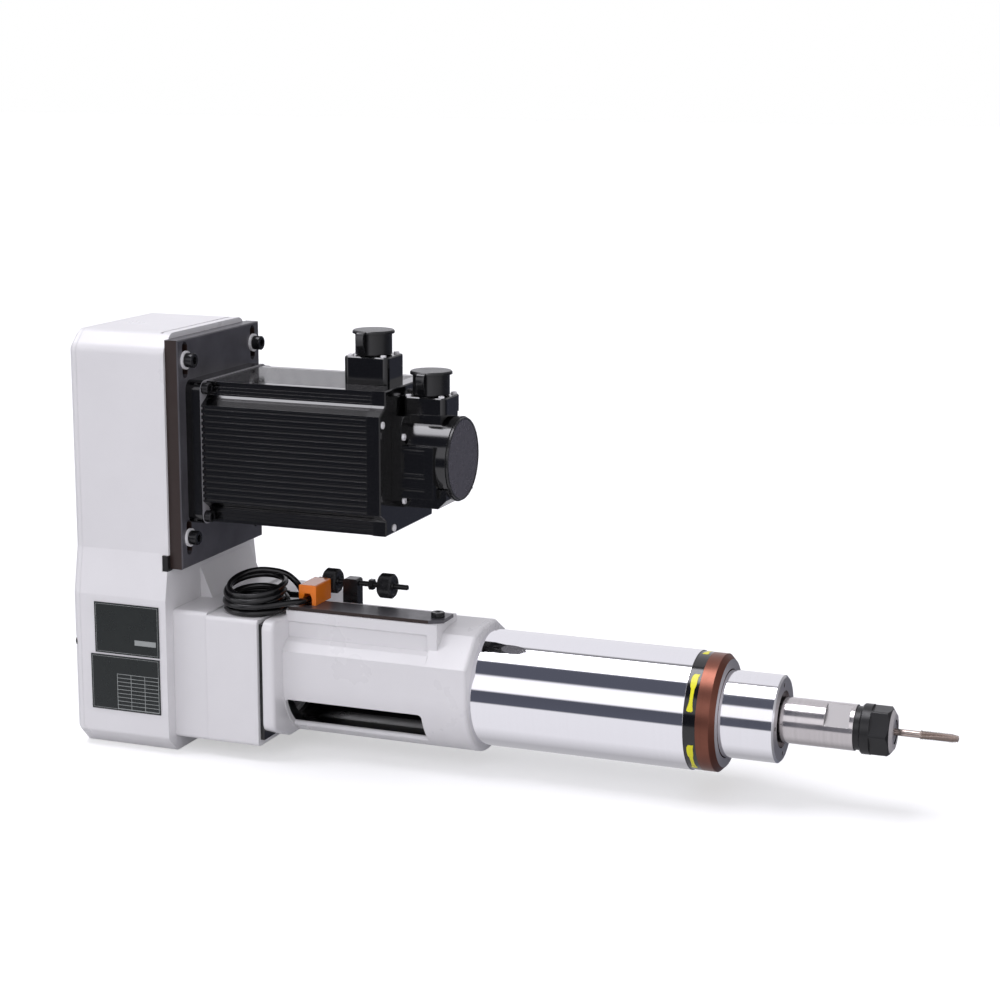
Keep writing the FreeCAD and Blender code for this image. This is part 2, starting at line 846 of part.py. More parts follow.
pocket(plate, sk)

number = 0
for side in (-1, 1):
    for height in (D.screw_low_z, D.screw_top_z):
        number += 1
        turned("plate_washer_%d" % number, [
            (0, D.washer_bore), (D.washer_thick, D.washer_bore), (D.washer_thick, D.washer_rad), (0, D.washer_rad),
        ], x=D.plate_front, y=D.screw_y * side, z=height)
        socket_screw(
            "plate_screw_%d" % number, D.screw_rad, D.screw_len, D.screw_head_rad, D.screw_head_len,
            D.screw_key_half, D.screw_key_deep,
            x=D.plate_front + D.washer_thick, y=D.screw_y * side, z=height,
        )

# servo motor: mounting flange, finned frame, end bell, encoder housing and its round cap
mount = piece("motor_flange", z=D.motor_z)
sk = sketch(mount, "YZ_Plane", D.plate_front)
rectangle(sk, -D.mount_half, D.mount_half, -D.mount_half, D.mount_half)
pad(mount, sk, D.mount_front - D.plate_front)
soften(mount, "Fillet", parallel_to("x"), D.mount_corner)
sk = sketch(mount, "YZ_Plane", D.plate_front - D.pilot_len)
circle(sk, 0, 0, D.pilot_rad)
pad(mount, sk, D.pilot_len + 1)
sk = sketch(mount, "YZ_Plane", D.mount_front)
circle(sk, 0, 0, D.shaft_rad + D.fit)
pocket(mount, sk)
sk = sketch(mount, "YZ_Plane", D.mount_front)
for side in (-1, 1):
    for rise in (-1, 1):
        circle(sk, D.motor_bolt * side, D.motor_bolt * rise, D.motor_bolt_hole)
pocket(mount, sk)



def motor_outline(target, half):
    """The motor's cross section: square, with a stepped notch along each corner for the bolts."""
    quarter = [
        (half, D.motor_side), (D.notch_slope_y, D.notch_slope_z), (D.notch_wall_y, D.notch_wall_z),
        (D.notch_wall_y, half),
    ]
    points = []
    for across, up, order in ((1, 1, 1), (-1, 1, -1), (-1, -1, 1), (1, -1, -1)):
        points += [(y * across, z * up) for y, z in quarter[::order]]
    polygon(target, points)


frame = piece("motor_frame", z=D.motor_z)
sk = sketch(frame, "YZ_Plane", D.mount_front)
motor_outline(sk, D.motor_half)
pad(frame, sk, D.frame_front - D.mount_front)
span = D.fin_pitch * (D.fin_count - 1)
half = D.fin_wide / 2
for direction in (-1, 1):
    sk = sketch(frame, "YZ_Plane", D.frame_front)
    rectangle(sk, D.motor_half * direction, (D.motor_half - D.fin_deep) * direction,
              -(span / 2) - half, -(span / 2) + half)
    cut = pocket(frame, sk)
    along(frame, cut, sk, "V_Axis", span, D.fin_count)
    sk = sketch(frame, "YZ_Plane", D.frame_front)
    rectangle(sk, -(span / 2) - half, -(span / 2) + half,
              D.motor_half * direction, (D.motor_half - D.fin_deep) * direction)
    cut = pocket(frame, sk)
    along(frame, cut, sk, "H_Axis", span, D.fin_count)
sk = sketch(frame, "YZ_Plane", D.frame_front)
for across in (-1, 1):
    for up in (-1, 1):
        for step in range(3):
            low = D.notch_wall_z + D.notch_rib_wide + D.notch_rib_pitch * step
            rectangle(sk, (D.notch_wall_y - D.notch_rib_deep) * across, (D.notch_wall_y + 1) * across,
                      low * up, (low + D.notch_rib_wide) * up)
pocket(frame, sk)

bell = piece("motor_end_bell", z=D.motor_z)
sk = sketch(bell, "YZ_Plane", D.frame_front)
motor_outline(sk, D.end_half)
pad(bell, sk, D.end_front - D.frame_front)
soften(bell, "Chamfer", lambda e, b: b.XMin > D.end_front.value - 0.1, D.plate_edge)

coder = piece("encoder_housing", z=D.motor_z)
sk = sketch(coder, "YZ_Plane", D.end_front)
octagon(sk, D.coder_half, D.coder_cut)
pad(coder, sk, D.coder_plate_front - D.end_front)
sk = sketch(coder, "YZ_Plane", D.coder_plate_front - 1)
circle(sk, 0, 0, D.coder_rad)
pad(coder, sk, D.coder_front - D.coder_plate_front + 1)
sk = sketch(coder, "YZ_Plane", D.coder_plate_front - 1)
rectangle(sk, -D.coder_top_half, D.coder_top_half, D.coder_top_low, D.coder_high)
pad(coder, sk, D.coder_top_front - D.coder_plate_front + 1)
sk = sketch(coder, "XY_Plane", D.coder_side_low)
polygon(sk, [
    (D.coder_plate_front - 1, -D.coder_block), (D.coder_side_front - D.coder_side_cut * 0.3, -D.coder_block),
    (D.coder_side_front, D.coder_side_cut - D.coder_block), (D.coder_side_front, D.coder_block - D.coder_side_cut),
    (D.coder_side_front - D.coder_side_cut * 0.3, D.coder_block), (D.coder_plate_front - 1, D.coder_block),
])
pad(coder, sk, D.coder_side_high - D.coder_side_low)
sk = sketch(coder, "XZ_Plane", -D.coder_foot_half)
polygon(sk, [
    (D.coder_plate_front - 1, D.coder_low), (D.coder_foot_front - D.coder_foot_cut, D.coder_low),
    (D.coder_foot_front, D.coder_low + D.coder_foot_cut), (D.coder_foot_front, D.coder_foot_top),
    (D.coder_plate_front - 1, D.coder_foot_top),
])
pad(coder, sk, D.coder_foot_half * 2)
for across in (-1, 1):
    wall = (D.coder_block - D.coder_pocket_deep) * across
    out = (D.coder_block + 1) * across
    sk = sketch(coder, "YZ_Plane", D.coder_pocket_end)
    rectangle(sk, wall, out, -D.coder_pocket, D.coder_pocket)
    pocket(coder, sk, D.coder_pocket_end - D.coder_plate_front)
    sk = sketch(coder, "YZ_Plane", D.coder_side_front - D.coder_side_cut)
    for low in (D.coder_slot_a, D.coder_slot_b, D.coder_slot_c):
        rectangle(sk, wall, out, low, low + D.coder_slot_wide)
    pocket(coder, sk, D.coder_side_front - D.coder_side_cut - D.coder_plate_front)

turned("encoder_cap", [
    (D.coder_front, 0), (D.coder_front, D.coder_cap_rad), (D.coder_cap_front - D.coder_rim * 0.5, D.coder_cap_rad),
    (D.coder_cap_front, D.coder_cap_rad - D.coder_rim * 0.5),
    (D.coder_cap_front, D.coder_cap_rad - D.coder_rim * 1.5),
    (D.coder_cap_front - D.coder_dish, D.coder_cap_rad - D.coder_rim * 2),
    (D.coder_cap_front - D.coder_dish, 0),
], z=D.motor_z)

# two round connectors, each a box, a threaded neck and a screwed dust cap on a strap
for name, where, length, wide, high, neck_rad, neck_len, cap_rad, cap_len, disc_rad, disc_len, floor in (
    ("power", D.power_x, D.power_len, D.power_wide, D.power_high, D.power_neck_rad, D.power_neck_len,
     D.power_cap_rad, D.power_cap_len, D.power_disc_rad, D.power_disc_len, D.motor_z + D.motor_half),
    ("signal", D.signal_x, D.signal_len, D.signal_wide, D.signal_high, D.signal_neck_rad, D.signal_neck_len,
     D.signal_cap_rad, D.signal_cap_len, D.signal_disc_rad, D.signal_disc_len, D.motor_z + D.coder_high),
):
    box = piece(name + "_box", x=where, z=floor)
    sk = sketch(box, "XY_Plane")
    rectangle(sk, length / -2, length / 2, wide / -2, wide / 2)
    pad(box, sk, high)
    soften(box, "Fillet", parallel_to("z"), D.box_corner)
    soften(box, "Chamfer", lambda e, b: b.ZMin > (floor + high).value - 0.1, D.box_edge)
    sk = sketch(box, "XY_Plane", high)
    circle(sk, 0, 0, neck_rad - D.cap_hollow)
    pad(box, sk, neck_len)
    top = cap_len + disc_len
    turned(name + "_dust_cap", [
        (0.3, neck_rad - D.cap_hollow + D.fit), (0.3, cap_rad - 0.6), (0.9, cap_rad), (cap_len, cap_rad),
        (cap_len, disc_rad), (top - 0.8, disc_rad), (top, disc_rad - 0.8), (top, 0),
        (neck_len + 0.6, 0), (neck_len + 0.6, neck_rad - D.cap_hollow + D.fit),
    ], x=where, z=floor + high, turn=UP)

# motor shaft, toothed pulleys, belt and the sleeve that drives the splined spindle
turned("motor_shaft", [
    (D.shaft_back, 0), (D.shaft_back, D.shaft_rad - D.edge_break), (D.shaft_back + D.edge_break, D.shaft_rad),
    (D.shaft_front, D.shaft_rad), (D.shaft_front, 0),
], z=D.motor_z)


def pulley(label, rad, teeth, bore, **place):
    side = D.pulley_side
    start = D.belt_start - D.belt_gap - side
    end = D.belt_start + D.belt_wide + D.belt_gap + side
    wheel = turned(label, [
        (start, bore), (start, rad + D.pulley_lip), (start + side, rad + D.pulley_lip), (start + side, rad),
        (end - side, rad), (end - side, rad + D.pulley_lip), (end, rad + D.pulley_lip), (end, bore),
    ], **place)
    target = sketch(wheel, "YZ_Plane", start + side)
    polygon(target, [
        (-D.tooth_half, rad + 0.4), (-D.tooth_half * 0.7, rad - D.tooth_deep),
        (D.tooth_half * 0.7, rad - D.tooth_deep), (D.tooth_half, rad + 0.4),
    ])
    gap = pocket(wheel, target, end - start - side * 2, reverse=True)
    around(wheel, gap, target, teeth)
    return wheel


pulley("motor_pulley", D.small_rad, D.small_teeth, D.shaft_rad, z=D.motor_z)
pulley("spindle_pulley", D.large_rad, D.large_teeth, D.sleeve_rad)

belt = piece("drive_belt")
sk = sketch(belt, "YZ_Plane", D.belt_start)
loop(sk, 0, 0, D.large_rad + D.fit + D.belt_thick, D.motor_z, D.small_rad + D.fit + D.belt_thick)
loop(sk, 0, 0, D.large_rad + D.fit, D.motor_z, D.small_rad + D.fit)
pad(belt, sk, D.belt_wide)

sleeve = turned("drive_sleeve", [
    (D.sleeve_back, D.sleeve_bore), (D.sleeve_back, D.sleeve_rad - D.edge_break),
    (D.sleeve_back + D.edge_break, D.sleeve_rad), (D.sleeve_front, D.sleeve_rad), (D.sleeve_front, D.sleeve_bore),
])

# bearing block, its bearings and the gasket in front of it
block = piece("bearing_block")
sk = sketch(block, "YZ_Plane", D.block_joint)
rectangle(sk, -D.block_half, D.block_half, D.block_low, D.block_high)
pad(block, sk, D.block_front - D.block_joint)
soften(block, "Fillet", parallel_to("x"), D.block_edge)
sk = sketch(block, "YZ_Plane", D.block_front)
circle(sk, 0, 0, D.shaft_clear_rad)
pocket(block, sk)
sk = sketch(block, "YZ_Plane", D.block_front)
circle(sk, 0, 0, D.bearing_rad)
pocket(block, sk, D.block_front - D.front_bearing_seat)

for label, start in (("bearing_rear", D.rear_bearing_seat), ("bearing_front", D.front_bearing_seat)):
    ring = turned(label, [
        (start, D.bearing_bore), (start, D.bearing_rad), (start + D.bearing_wide, D.bearing_rad),
        (start + D.bearing_wide, D.bearing_bore),
    ])
    sk = sketch(ring, "XZ_Plane")
    end = start + D.bearing_wide
    rectangle(sk, end - D.bearing_mid_deep, end, D.bearing_mid_in, D.bearing_mid_out)
    groove(ring, sk)

gasket = piece("gasket")
sk = sketch(gasket, "YZ_Plane", D.block_front)
rectangle(sk, -D.gasket_half, D.gasket_half, D.gasket_low, D.gasket_high)
circle(sk, 0, 0, D.gasket_bore)
pad(gasket, sk, D.body_flange_back - D.block_front)

# cast quill body: rear flange, waisted middle with side windows and a rail, round nose
cast = piece("quill_body")
sk = sketch(cast, "YZ_Plane", D.body_flange_back)
polygon(sk, [
    (-D.flange_bottom_half, D.flange_bottom), (D.flange_bottom_half, D.flange_bottom),
    (D.flange_half, D.flange_low), (D.flange_half, D.flange_top), (-D.flange_half, D.flange_top),
    (-D.flange_half, D.flange_low),
])
pad(cast, sk, D.body_flange_front - D.body_flange_back)
soften(cast, "Fillet", parallel_to("x"), D.flange_corner)
soften(cast, "Fillet", lambda e, b: b.XMin > D.body_flange_front.value - 0.1, D.flange_round)


def low_arc(target, points):
    """The polygon closed below by the half round of the body."""
    points = [(size(x), size(y)) for x, y in points]
    base = []
    for i in range(len(points) - 1):
        a, b = points[i], points[i + 1]
        line = Part.LineSegment(
            FreeCAD.Vector(a[0].value, a[1].value, 0), FreeCAD.Vector(b[0].value, b[1].value, 0))
        base.append(target.addGeometry(line))
    for i in range(len(base) - 1):
        target.addConstraint(Sketcher.Constraint("Coincident", base[i], 2, base[i + 1], 1))
        pin(target, base[i], 1, points[i][0], points[i][1])
    pin(target, base[-1], 1, points[-2][0], points[-2][1])
    pin(target, base[-1], 2, points[-1][0], points[-1][1])
    round_low = Part.ArcOfCircle(
        Part.Circle(FreeCAD.Vector(0, 0, 0), FreeCAD.Vector(0, 0, 1), D.body_half.value), math.pi, 2 * math.pi)
    arc = target.addGeometry(round_low)
    target.addConstraint(Sketcher.Constraint("PointOnObject", arc, 3, -1))
    target.addConstraint(Sketcher.Constraint("Coincident", arc, 1, base[-1], 2))
    target.addConstraint(Sketcher.Constraint("Coincident", arc, 2, base[0], 1))


sk = sketch(cast, "YZ_Plane", D.body_flange_front - 1)
low_arc(sk, [
    (D.body_half, 0), (D.body_half, D.body_far_shoulder), (D.body_far_y, D.body_far_z),
    (D.body_top_far, D.body_top), (D.body_rail_far, D.body_top), (D.body_rail_far, D.body_rail_top),
    (D.body_rail_y, D.body_rail_top), (D.body_rail_y, D.body_rail_low),
    (D.body_channel_y, D.body_channel_high), (D.body_channel_y, D.body_channel_low),
    (D.body_waist_y, D.body_waist_z), (-D.body_half, D.body_shoulder), (-D.body_half, 0),
])
pad(cast, sk, D.body_nose_back - D.body_flange_front + 2)
sk = sketch(cast, "YZ_Plane", D.body_nose_back)
low_arc(sk, [
    (D.body_half, 0), (D.body_half, D.body_far_shoulder), (D.body_far_y, D.body_far_z),
    (D.body_top_far, D.body_top), (D.nose_top_y, D.body_top), (D.nose_near_y, D.nose_near_z),
    (-D.body_half, D.body_shoulder), (-D.body_half, 0),
])
pad(cast, sk, -D.body_nose_back)
sk = sketch(cast, "YZ_Plane", D.body_nose_back - 1)
rectangle(sk, D.body_rail_y, D.body_rail_far, D.body_shoulder, D.body_rail_top)
pad(cast, sk, D.rail_end - D.body_nose_back + 1)
sk = sketch(cast, "XZ_Plane")
polygon(sk, [
    (D.body_cavity_start, 0), (D.body_cavity_start, D.body_cavity_rad),
    (-D.barrel_in, D.body_cavity_rad), (-D.barrel_in, D.barrel_rad - D.socket_relief),
    (1, D.barrel_rad - D.socket_relief), (1, 0),
])
groove(cast, sk)


def outer_rim(edge, box):
    """The nose's outline on its front face, without the round bore."""
    return box.XMin > -0.01 and edge.distToShape(Part.Vertex(0, 0, 0))[0] > D.barrel_rad.value + 1


soften(cast, "Fillet", outer_rim, D.nose_round)
sk = sketch(cast, "YZ_Plane", D.body_flange_back)
circle(sk, 0, 0, D.gasket_bore)
pocket(cast, sk, D.body_cavity_start - D.body_flange_back + 1, reverse=True)
sk = sketch(cast, "XZ_Plane")
rectangle(sk, D.window_start, D.window_end, D.window_low, D.window_high)
pocket(cast, sk, D.flange_half * 2 + 10, both=True)


def window_lip(edge, box):
    """The windows' lower outer edges."""
    level = abs(box.ZMin - D.window_low.value) < 0.01 and abs(box.ZMax - D.window_low.value) < 0.01
    return level and parallel_to("x")(edge, box) and abs(box.YMin) > D.quill_rad.value


def window_corner(edge, box):
    """The windows' upper corners, which run through the wall."""
    return parallel_to("y")(edge, box) and abs(box.ZMin - D.window_high.value) < 0.01


soften(cast, "Fillet", window_lip, D.window_lip)
soften(cast, "Fillet", window_corner, D.window_corner)
sk = sketch(cast, "XY_Plane", D.body_rail_top)
rectangle(sk, D.slot_start, D.slot_end, D.slot_y - D.slot_half, D.slot_y + D.slot_half)
pocket(cast, sk, D.body_rail_top - D.slot_floor)
sk = sketch(cast, "XY_Plane", D.body_rail_top)
for where in (D.bracket_screw_a, D.bracket_screw_b):
    circle(sk, where, D.bracket_screw_y, D.bracket_screw_rad + D.fit)
pocket(cast, sk, D.bracket_screw_len)

seat = D.barrel_rad - D.band_deep
spigot = D.barrel_rad - D.ring_spigot_deep
outer = D.barrel_rad - D.band_sink
barrel = turned("barrel", [
    (-D.barrel_in, D.barrel_bore), (-D.barrel_in, D.barrel_rad - D.socket_relief),
    (0, D.barrel_rad - D.socket_relief), (0, D.barrel_rad), (D.band_start, D.barrel_rad),
    (D.band_start, seat), (D.ring_start, seat), (D.ring_start, spigot),
    (D.ring_spigot_end, spigot), (D.ring_spigot_end, D.barrel_bore),
])
turned("marker_band", [
    (D.band_start, seat), (D.band_start, outer), (D.ring_start, outer), (D.ring_start, seat),
])
turned("front_ring", [
    (D.ring_start, spigot), (D.ring_start, outer), (D.ring_end - D.ring_chamfer, outer),
    (D.ring_end, outer - D.ring_chamfer), (D.ring_end, D.ring_bore),
    (D.ring_spigot_end, D.ring_bore), (D.ring_spigot_end, spigot),
])

# quill and everything that slides with it
quill = turned("quill", [
    (D.quill_back, D.rear_seat_rad), (D.quill_back, D.quill_rad - D.edge_break),
    (D.quill_back + D.edge_break, D.quill_rad), (D.quill_front - D.lock_chamfer, D.quill_rad),
    (D.quill_front, D.quill_rad - D.lock_chamfer), (D.quill_front, D.lock_ring_rad),
    (D.lock_ring_start, D.lock_ring_rad), (D.lock_ring_start, D.front_seat_rad),
    (D.front_seat_start, D.front_seat_rad), (D.front_seat_start, D.quill_bore),
    (D.rear_seat_end, D.quill_bore), (D.rear_seat_end, D.rear_seat_rad),
])
sk = sketch(quill, "XY_Plane", D.quill_rad)
rectangle(sk, D.post_back - D.fit, D.post_front + D.fit,
          D.slot_y - D.post_half - D.fit, D.slot_y + D.post_half + D.fit)
pocket(quill, sk, D.quill_rad - D.post_foot)

lock = turned("quill_lock_ring", [
    (D.lock_ring_start, D.lock_ring_bore), (D.lock_ring_start, D.lock_ring_rad - D.fit),
    (D.quill_front, D.lock_ring_rad - D.fit), (D.quill_front, D.lock_ring_bore),
])
sk = sketch(lock, "YZ_Plane", D.quill_front)
circle(sk, 0, D.lock_hole_pitch, D.lock_hole_rad)
cut = pocket(lock, sk, D.lock_hole_deep)
around(lock, cut, sk, D.lock_hole_count)

turned("quill_front_bearing", [
    (D.front_seat_start, D.spindle_rad + D.fit), (D.front_seat_start, D.front_seat_rad - D.fit),
    (D.lock_ring_start, D.front_seat_rad - D.fit), (D.lock_ring_start, D.spindle_rad + D.fit),
])
turned("quill_rear_bearing", [
    (D.quill_back, D.rear_bearing_bore), (D.quill_back, D.rear_seat_rad - D.fit),
    (D.rear_seat_end, D.rear_seat_rad - D.fit), (D.rear_seat_end, D.rear_bearing_bore),
])


post = slab("dog_post", D.post_back, D.post_front, D.slot_y - D.post_half, D.slot_y + D.post_half,
            D.post_foot, D.post_top)
soften(post, "Fillet", lambda e, b: parallel_to("y")(e, b) and b.ZMin > D.post_top.value - 0.1, D.post_round)
sk = sketch(post, "YZ_Plane", D.post_front)
circle(sk, D.slot_y, D.rod_z, D.rod_rad + D.fit)
pocket(post, sk)

turned("trip_rod", [
    (D.rod_back, 0), (D.rod_back, D.rod_rad - 0.5), (D.rod_back + 0.5, D.rod_rad),
    (D.rod_front - 0.5, D.rod_rad), (D.rod_front, D.rod_rad - 0.5), (D.rod_front, 0),
], y=D.slot_y, z=D.rod_z)

nut = piece("rod_nut", y=D.slot_y, z=D.rod_z)
sk = sketch(nut, "YZ_Plane", D.rod_nut_x)
hexagon(sk, D.rod_nut_half)
circle(sk, 0, 0, D.rod_rad + D.fit)
pad(nut, sk, D.rod_nut_len)

for label, start in (("trip_knob_rear", D.knob_a), ("trip_knob_front", D.knob_b)):
    edge = D.knob_edge
    knob = turned(label, [
        (start, D.rod_rad + D.fit), (start, D.knob_rad - edge), (start + edge, D.knob_rad),
        (start + D.knob_len - edge, D.knob_rad), (start + D.knob_len, D.knob_rad - edge),
        (start + D.knob_len, D.rod_rad + D.fit),
    ], y=D.slot_y, z=D.rod_z)
    sk = sketch(knob, "YZ_Plane", start)
    circle(sk, 0, D.knob_rad + D.knob_flute_rad * 0.45, D.knob_flute_rad)
    cut = pocket(knob, sk, D.knob_len, reverse=True)
    around(knob, cut, sk, D.knob_flutes)

# spindle, collet, nut and tap
spindle = turned("spindle", [
    (D.spline_back, 0), (D.spline_back, D.spline_rad), (D.spline_step, D.spline_rad),
    (D.spline_step, D.spindle_mid_rad), (D.spindle_step, D.spindle_mid_rad), (D.spindle_step, D.spindle_rad),
    (D.spindle_front, D.spindle_rad), (D.spindle_front, D.nose_thread_rad),
    (D.nose_thread_end, D.nose_thread_rad), (D.nose_thread_end, D.socket_mouth_rad),
    (D.socket_start, D.socket_end_rad), (D.socket_start, 0),
])
sk = sketch(spindle, "YZ_Plane", D.spline_back)
rectangle(sk, -D.spline_half, D.spline_half, D.spline_rad - 1, D.spline_tip_rad)
rib = pad(spindle, sk, D.spline_step - D.spline_back)
around(spindle, rib, sk, D.spline_count)
flat_turn = math.radians(D.flat_angle.value)
sk = sketch(spindle, "YZ_Plane", D.flat_start)
lean_y = -math.sin(flat_turn)
lean_z = math.cos(flat_turn)
for sign in (1, -1):
    near = D.flat_half * sign
    far = (D.spindle_rad + 2) * sign
    wide = D.spindle_rad
    polygon(sk, [
        (near * lean_y - wide * lean_z, near * lean_z + wide * lean_y),
        (near * lean_y + wide * lean_z, near * lean_z - wide * lean_y),
        (far * lean_y + wide * lean_z, far * lean_z - wide * lean_y),
        (far * lean_y - wide * lean_z, far * lean_z + wide * lean_y),
    ])
pocket(spindle, sk, D.flat_end - D.flat_start, reverse=True)

nut = turned("collet_nut", [
    (D.spindle_front + D.fit, D.nose_thread_rad + D.fit), (D.spindle_front + D.fit, D.groove_rad),
    (D.groove_end, D.groove_rad), (D.groove_end, D.nut_rad - 1), (D.groove_end + 1, D.nut_rad),
    (D.nut_taper_start, D.nut_rad), (D.nut_front, D.nut_face_rad), (D.nut_front, D.nut_mouth_rad),
    (D.nut_bore_end, D.socket_mouth_rad + D.fit), (D.nut_bore_end, D.nose_thread_rad + D.fit),
])
sk = sketch(nut, "YZ_Plane", D.nut_hex_start)
rectangle(sk, -D.nut_rad, D.nut_rad, D.nut_hex_half, D.nut_rad + 1)
cut = pocket(nut, sk, D.nut_front - D.nut_hex_start, reverse=True)
around(nut, cut, sk, size(6))

collet = turned("collet", [
    (D.collet_back, D.collet_bore), (D.collet_back, D.collet_back_rad),
    (D.collet_big_start, D.collet_big_rad), (D.collet_big_end, D.collet_big_rad),
    (D.collet_front, D.collet_face_rad), (D.collet_front, D.collet_bore),
])
sk = sketch(collet, "YZ_Plane", D.collet_front)
rectangle(sk, -D.collet_slot_half, D.collet_slot_half, D.collet_bore - 1, D.collet_big_rad + 1)
cut = pocket(collet, sk, D.collet_front - D.collet_slot_start)
around(collet, cut, sk, D.collet_slot_count)

tap = turned("tap", [
    (D.tap_back, 0), (D.tap_back, D.tap_shank_rad), (D.tap_thread_start - 0.8, D.tap_shank_rad),
    (D.tap_thread_start, D.tap_rad), (D.tap_tip - D.tap_point_len, D.tap_rad),
    (D.tap_tip, D.tap_point_rad), (D.tap_tip, 0),
])
sk = sketch(tap, "YZ_Plane", D.tap_tip)
circle(sk, 0, D.tap_flute_pitch, D.tap_flute_rad)
cut = pocket(tap, sk, D.tap_tip - D.tap_thread_start + 1)
around(tap, cut, sk, size(3))

# bracket plate with the proximity sensor, its screws and the coiled cable
bracket = piece("bracket_plate")
sk = sketch(bracket, "XY_Plane", D.bracket_low)
polygon(sk, [
    (D.bracket_back, D.bracket_near), (D.bracket_front - D.bracket_cut, D.bracket_near),
    (D.bracket_front, D.bracket_near + D.bracket_cut * 0.6), (D.bracket_front, D.bracket_far),
    (D.bracket_back, D.bracket_far),
])
pad(bracket, sk, D.bracket_thick)
sk = sketch(bracket, "XY_Plane", D.bracket_low)
circle(sk, D.bracket_screw_a, D.bracket_screw_y, D.bracket_hole_rad)
circle(sk, D.bracket_screw_b, D.bracket_screw_y, D.sunk_head_rad + D.fit)
pocket(bracket, sk, reverse=True)

socket_screw(
    "bracket_screw_front", D.bracket_screw_rad, D.bracket_screw_len, D.bracket_head_rad,
    D.bracket_head_len, size(2.0), size(2.2), turn=UP,
    x=D.bracket_screw_a, y=D.bracket_screw_y, z=D.bracket_low + D.bracket_thick,
)
# the rear screw is countersunk flush under the sensor
sunk = turned("bracket_screw_rear", [
    (-D.bracket_screw_len, 0), (-D.bracket_screw_len, D.bracket_screw_rad),
    (0, D.bracket_screw_rad), (D.bracket_thick - 0.3, D.sunk_head_rad), (D.bracket_thick - 0.1, D.sunk_head_rad),
    (D.bracket_thick - 0.1, 0),
], turn=UP, x=D.bracket_screw_b, y=D.bracket_screw_y, z=D.bracket_low)
sk = sketch(sunk, "YZ_Plane", D.bracket_thick - 0.1)
hexagon(sk, size(1.5))
pocket(sunk, sk, size(1.4))

floor = D.bracket_low + D.bracket_thick
sensor = slab("sensor", D.sensor_back, D.sensor_front, D.sensor_near, D.sensor_far,
              floor, floor + D.sensor_high)
soften(sensor, "Fillet", lambda e, b: parallel_to("y")(e, b) and b.ZMin > floor.value + 1, D.sensor_edge)
sk = sketch(sensor, "XZ_Plane", -D.sensor_near)
middle = (D.sensor_back + D.sensor_front) / 2
polygon(sk, [
    (middle - D.arch_half, floor - 1), (middle + D.arch_half, floor - 1),
    (middle + D.arch_half, floor + D.arch_high * 0.6), (middle + D.arch_half * 0.6, floor + D.arch_high),
    (middle - D.arch_half * 0.6, floor + D.arch_high), (middle - D.arch_half, floor + D.arch_high * 0.6),
])
pocket(sensor, sk, D.arch_deep)

# the spare cable lies coiled on the blocks: the closed shape of the coil, raised at the back
coil = piece("cable_coil")
sk = sketch(coil, "XY_Plane", D.coil_low)
circle(sk, D.coil_x, D.coil_y, D.coil_out)
circle(sk, D.coil_x, D.coil_y, D.coil_in)
pad(coil, sk, D.coil_high - D.coil_low)
sk = sketch(coil, "YZ_Plane", D.coil_x)
near = D.coil_y - D.coil_out - 1
far = D.coil_y + D.coil_out + 1
polygon(sk, [(near, D.coil_front_high), (far, D.coil_high), (far, D.coil_high + 9), (near, D.coil_high + 9)])
pocket(coil, sk, D.coil_out * 2 + 4, both=True)

# the cable's lead: out of the sensor's arch, round to the left and into the coil
route = [FreeCAD.Vector(x, y, LEAD_HEIGHT) for x, y in LEAD_ROUTE]
edges = []
here = route[0]
for before, corner, after in zip(route, route[1:], route[2:]):
    into = (corner - before).normalize()
    out = (after - corner).normalize()
    turn = into.getAngle(out)
    shorter = min((corner - before).Length, (after - corner).Length)
    trim = 0.45 * shorter
    radius = trim / math.tan(turn / 2)
    print("lead bend radius %.1f mm" % radius)
    start = corner - into * trim
    end = corner + out * trim
    middle = corner + (out - into).normalize() * (radius / math.cos(turn / 2) - radius)
    edges.append(Part.LineSegment(here, start).toShape())
    edges.append(Part.Arc(start, middle, end).toShape())
    here = end
edges.append(Part.LineSegment(here, route[-1]).toShape())
lead = doc.addObject("Part::Feature", "cable_lead")
lead.Label = "cable_lead"
section = Part.Wire([Part.Circle(route[0], route[1] - route[0], D.cable_rad.value).toShape()])
lead.Shape = Part.Wire(edges).makePipeShell([section], True, False)
PARTS.append(lead)

# the round connector on the cable's far end lies behind the coil
plug = turned("cable_plug", [
    (0, 0), (0, D.plug_rad - 0.6), (0.6, D.plug_rad), (D.plug_nut_len, D.plug_rad),
    (D.plug_nut_len, D.plug_body_rad), (D.plug_len - 8, D.plug_body_rad), (D.plug_len, D.cable_rad + 0.5),
    (D.plug_len, 0),
], x=D.plug_x, y=D.plug_y, z=D.block_high + D.plug_rad + 0.05)

doc.recompute()

bad = []
for item in doc.Objects:
    if "Invalid" in item.State or "Error" in item.State:
        bad.append("%s %s" % (item.Label, item.State))
for body in PARTS:
    if body.Shape.isNull() or not body.Shape.isValid():
        bad.append("shape of " + body.Label)
    elif len(body.Shape.Solids) != 1:
        bad.append("%s holds %d solids" % (body.Label, len(body.Shape.Solids)))
if bad:
    raise RuntimeError("; ".join(bad))

os.makedirs("parts", exist_ok=True)
for body in PARTS:
    body.Shape.exportStep(os.path.join("parts", body.Label + ".step"))
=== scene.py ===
import json
import math

import bmesh
import bpy
from mathutils import Matrix, Vector


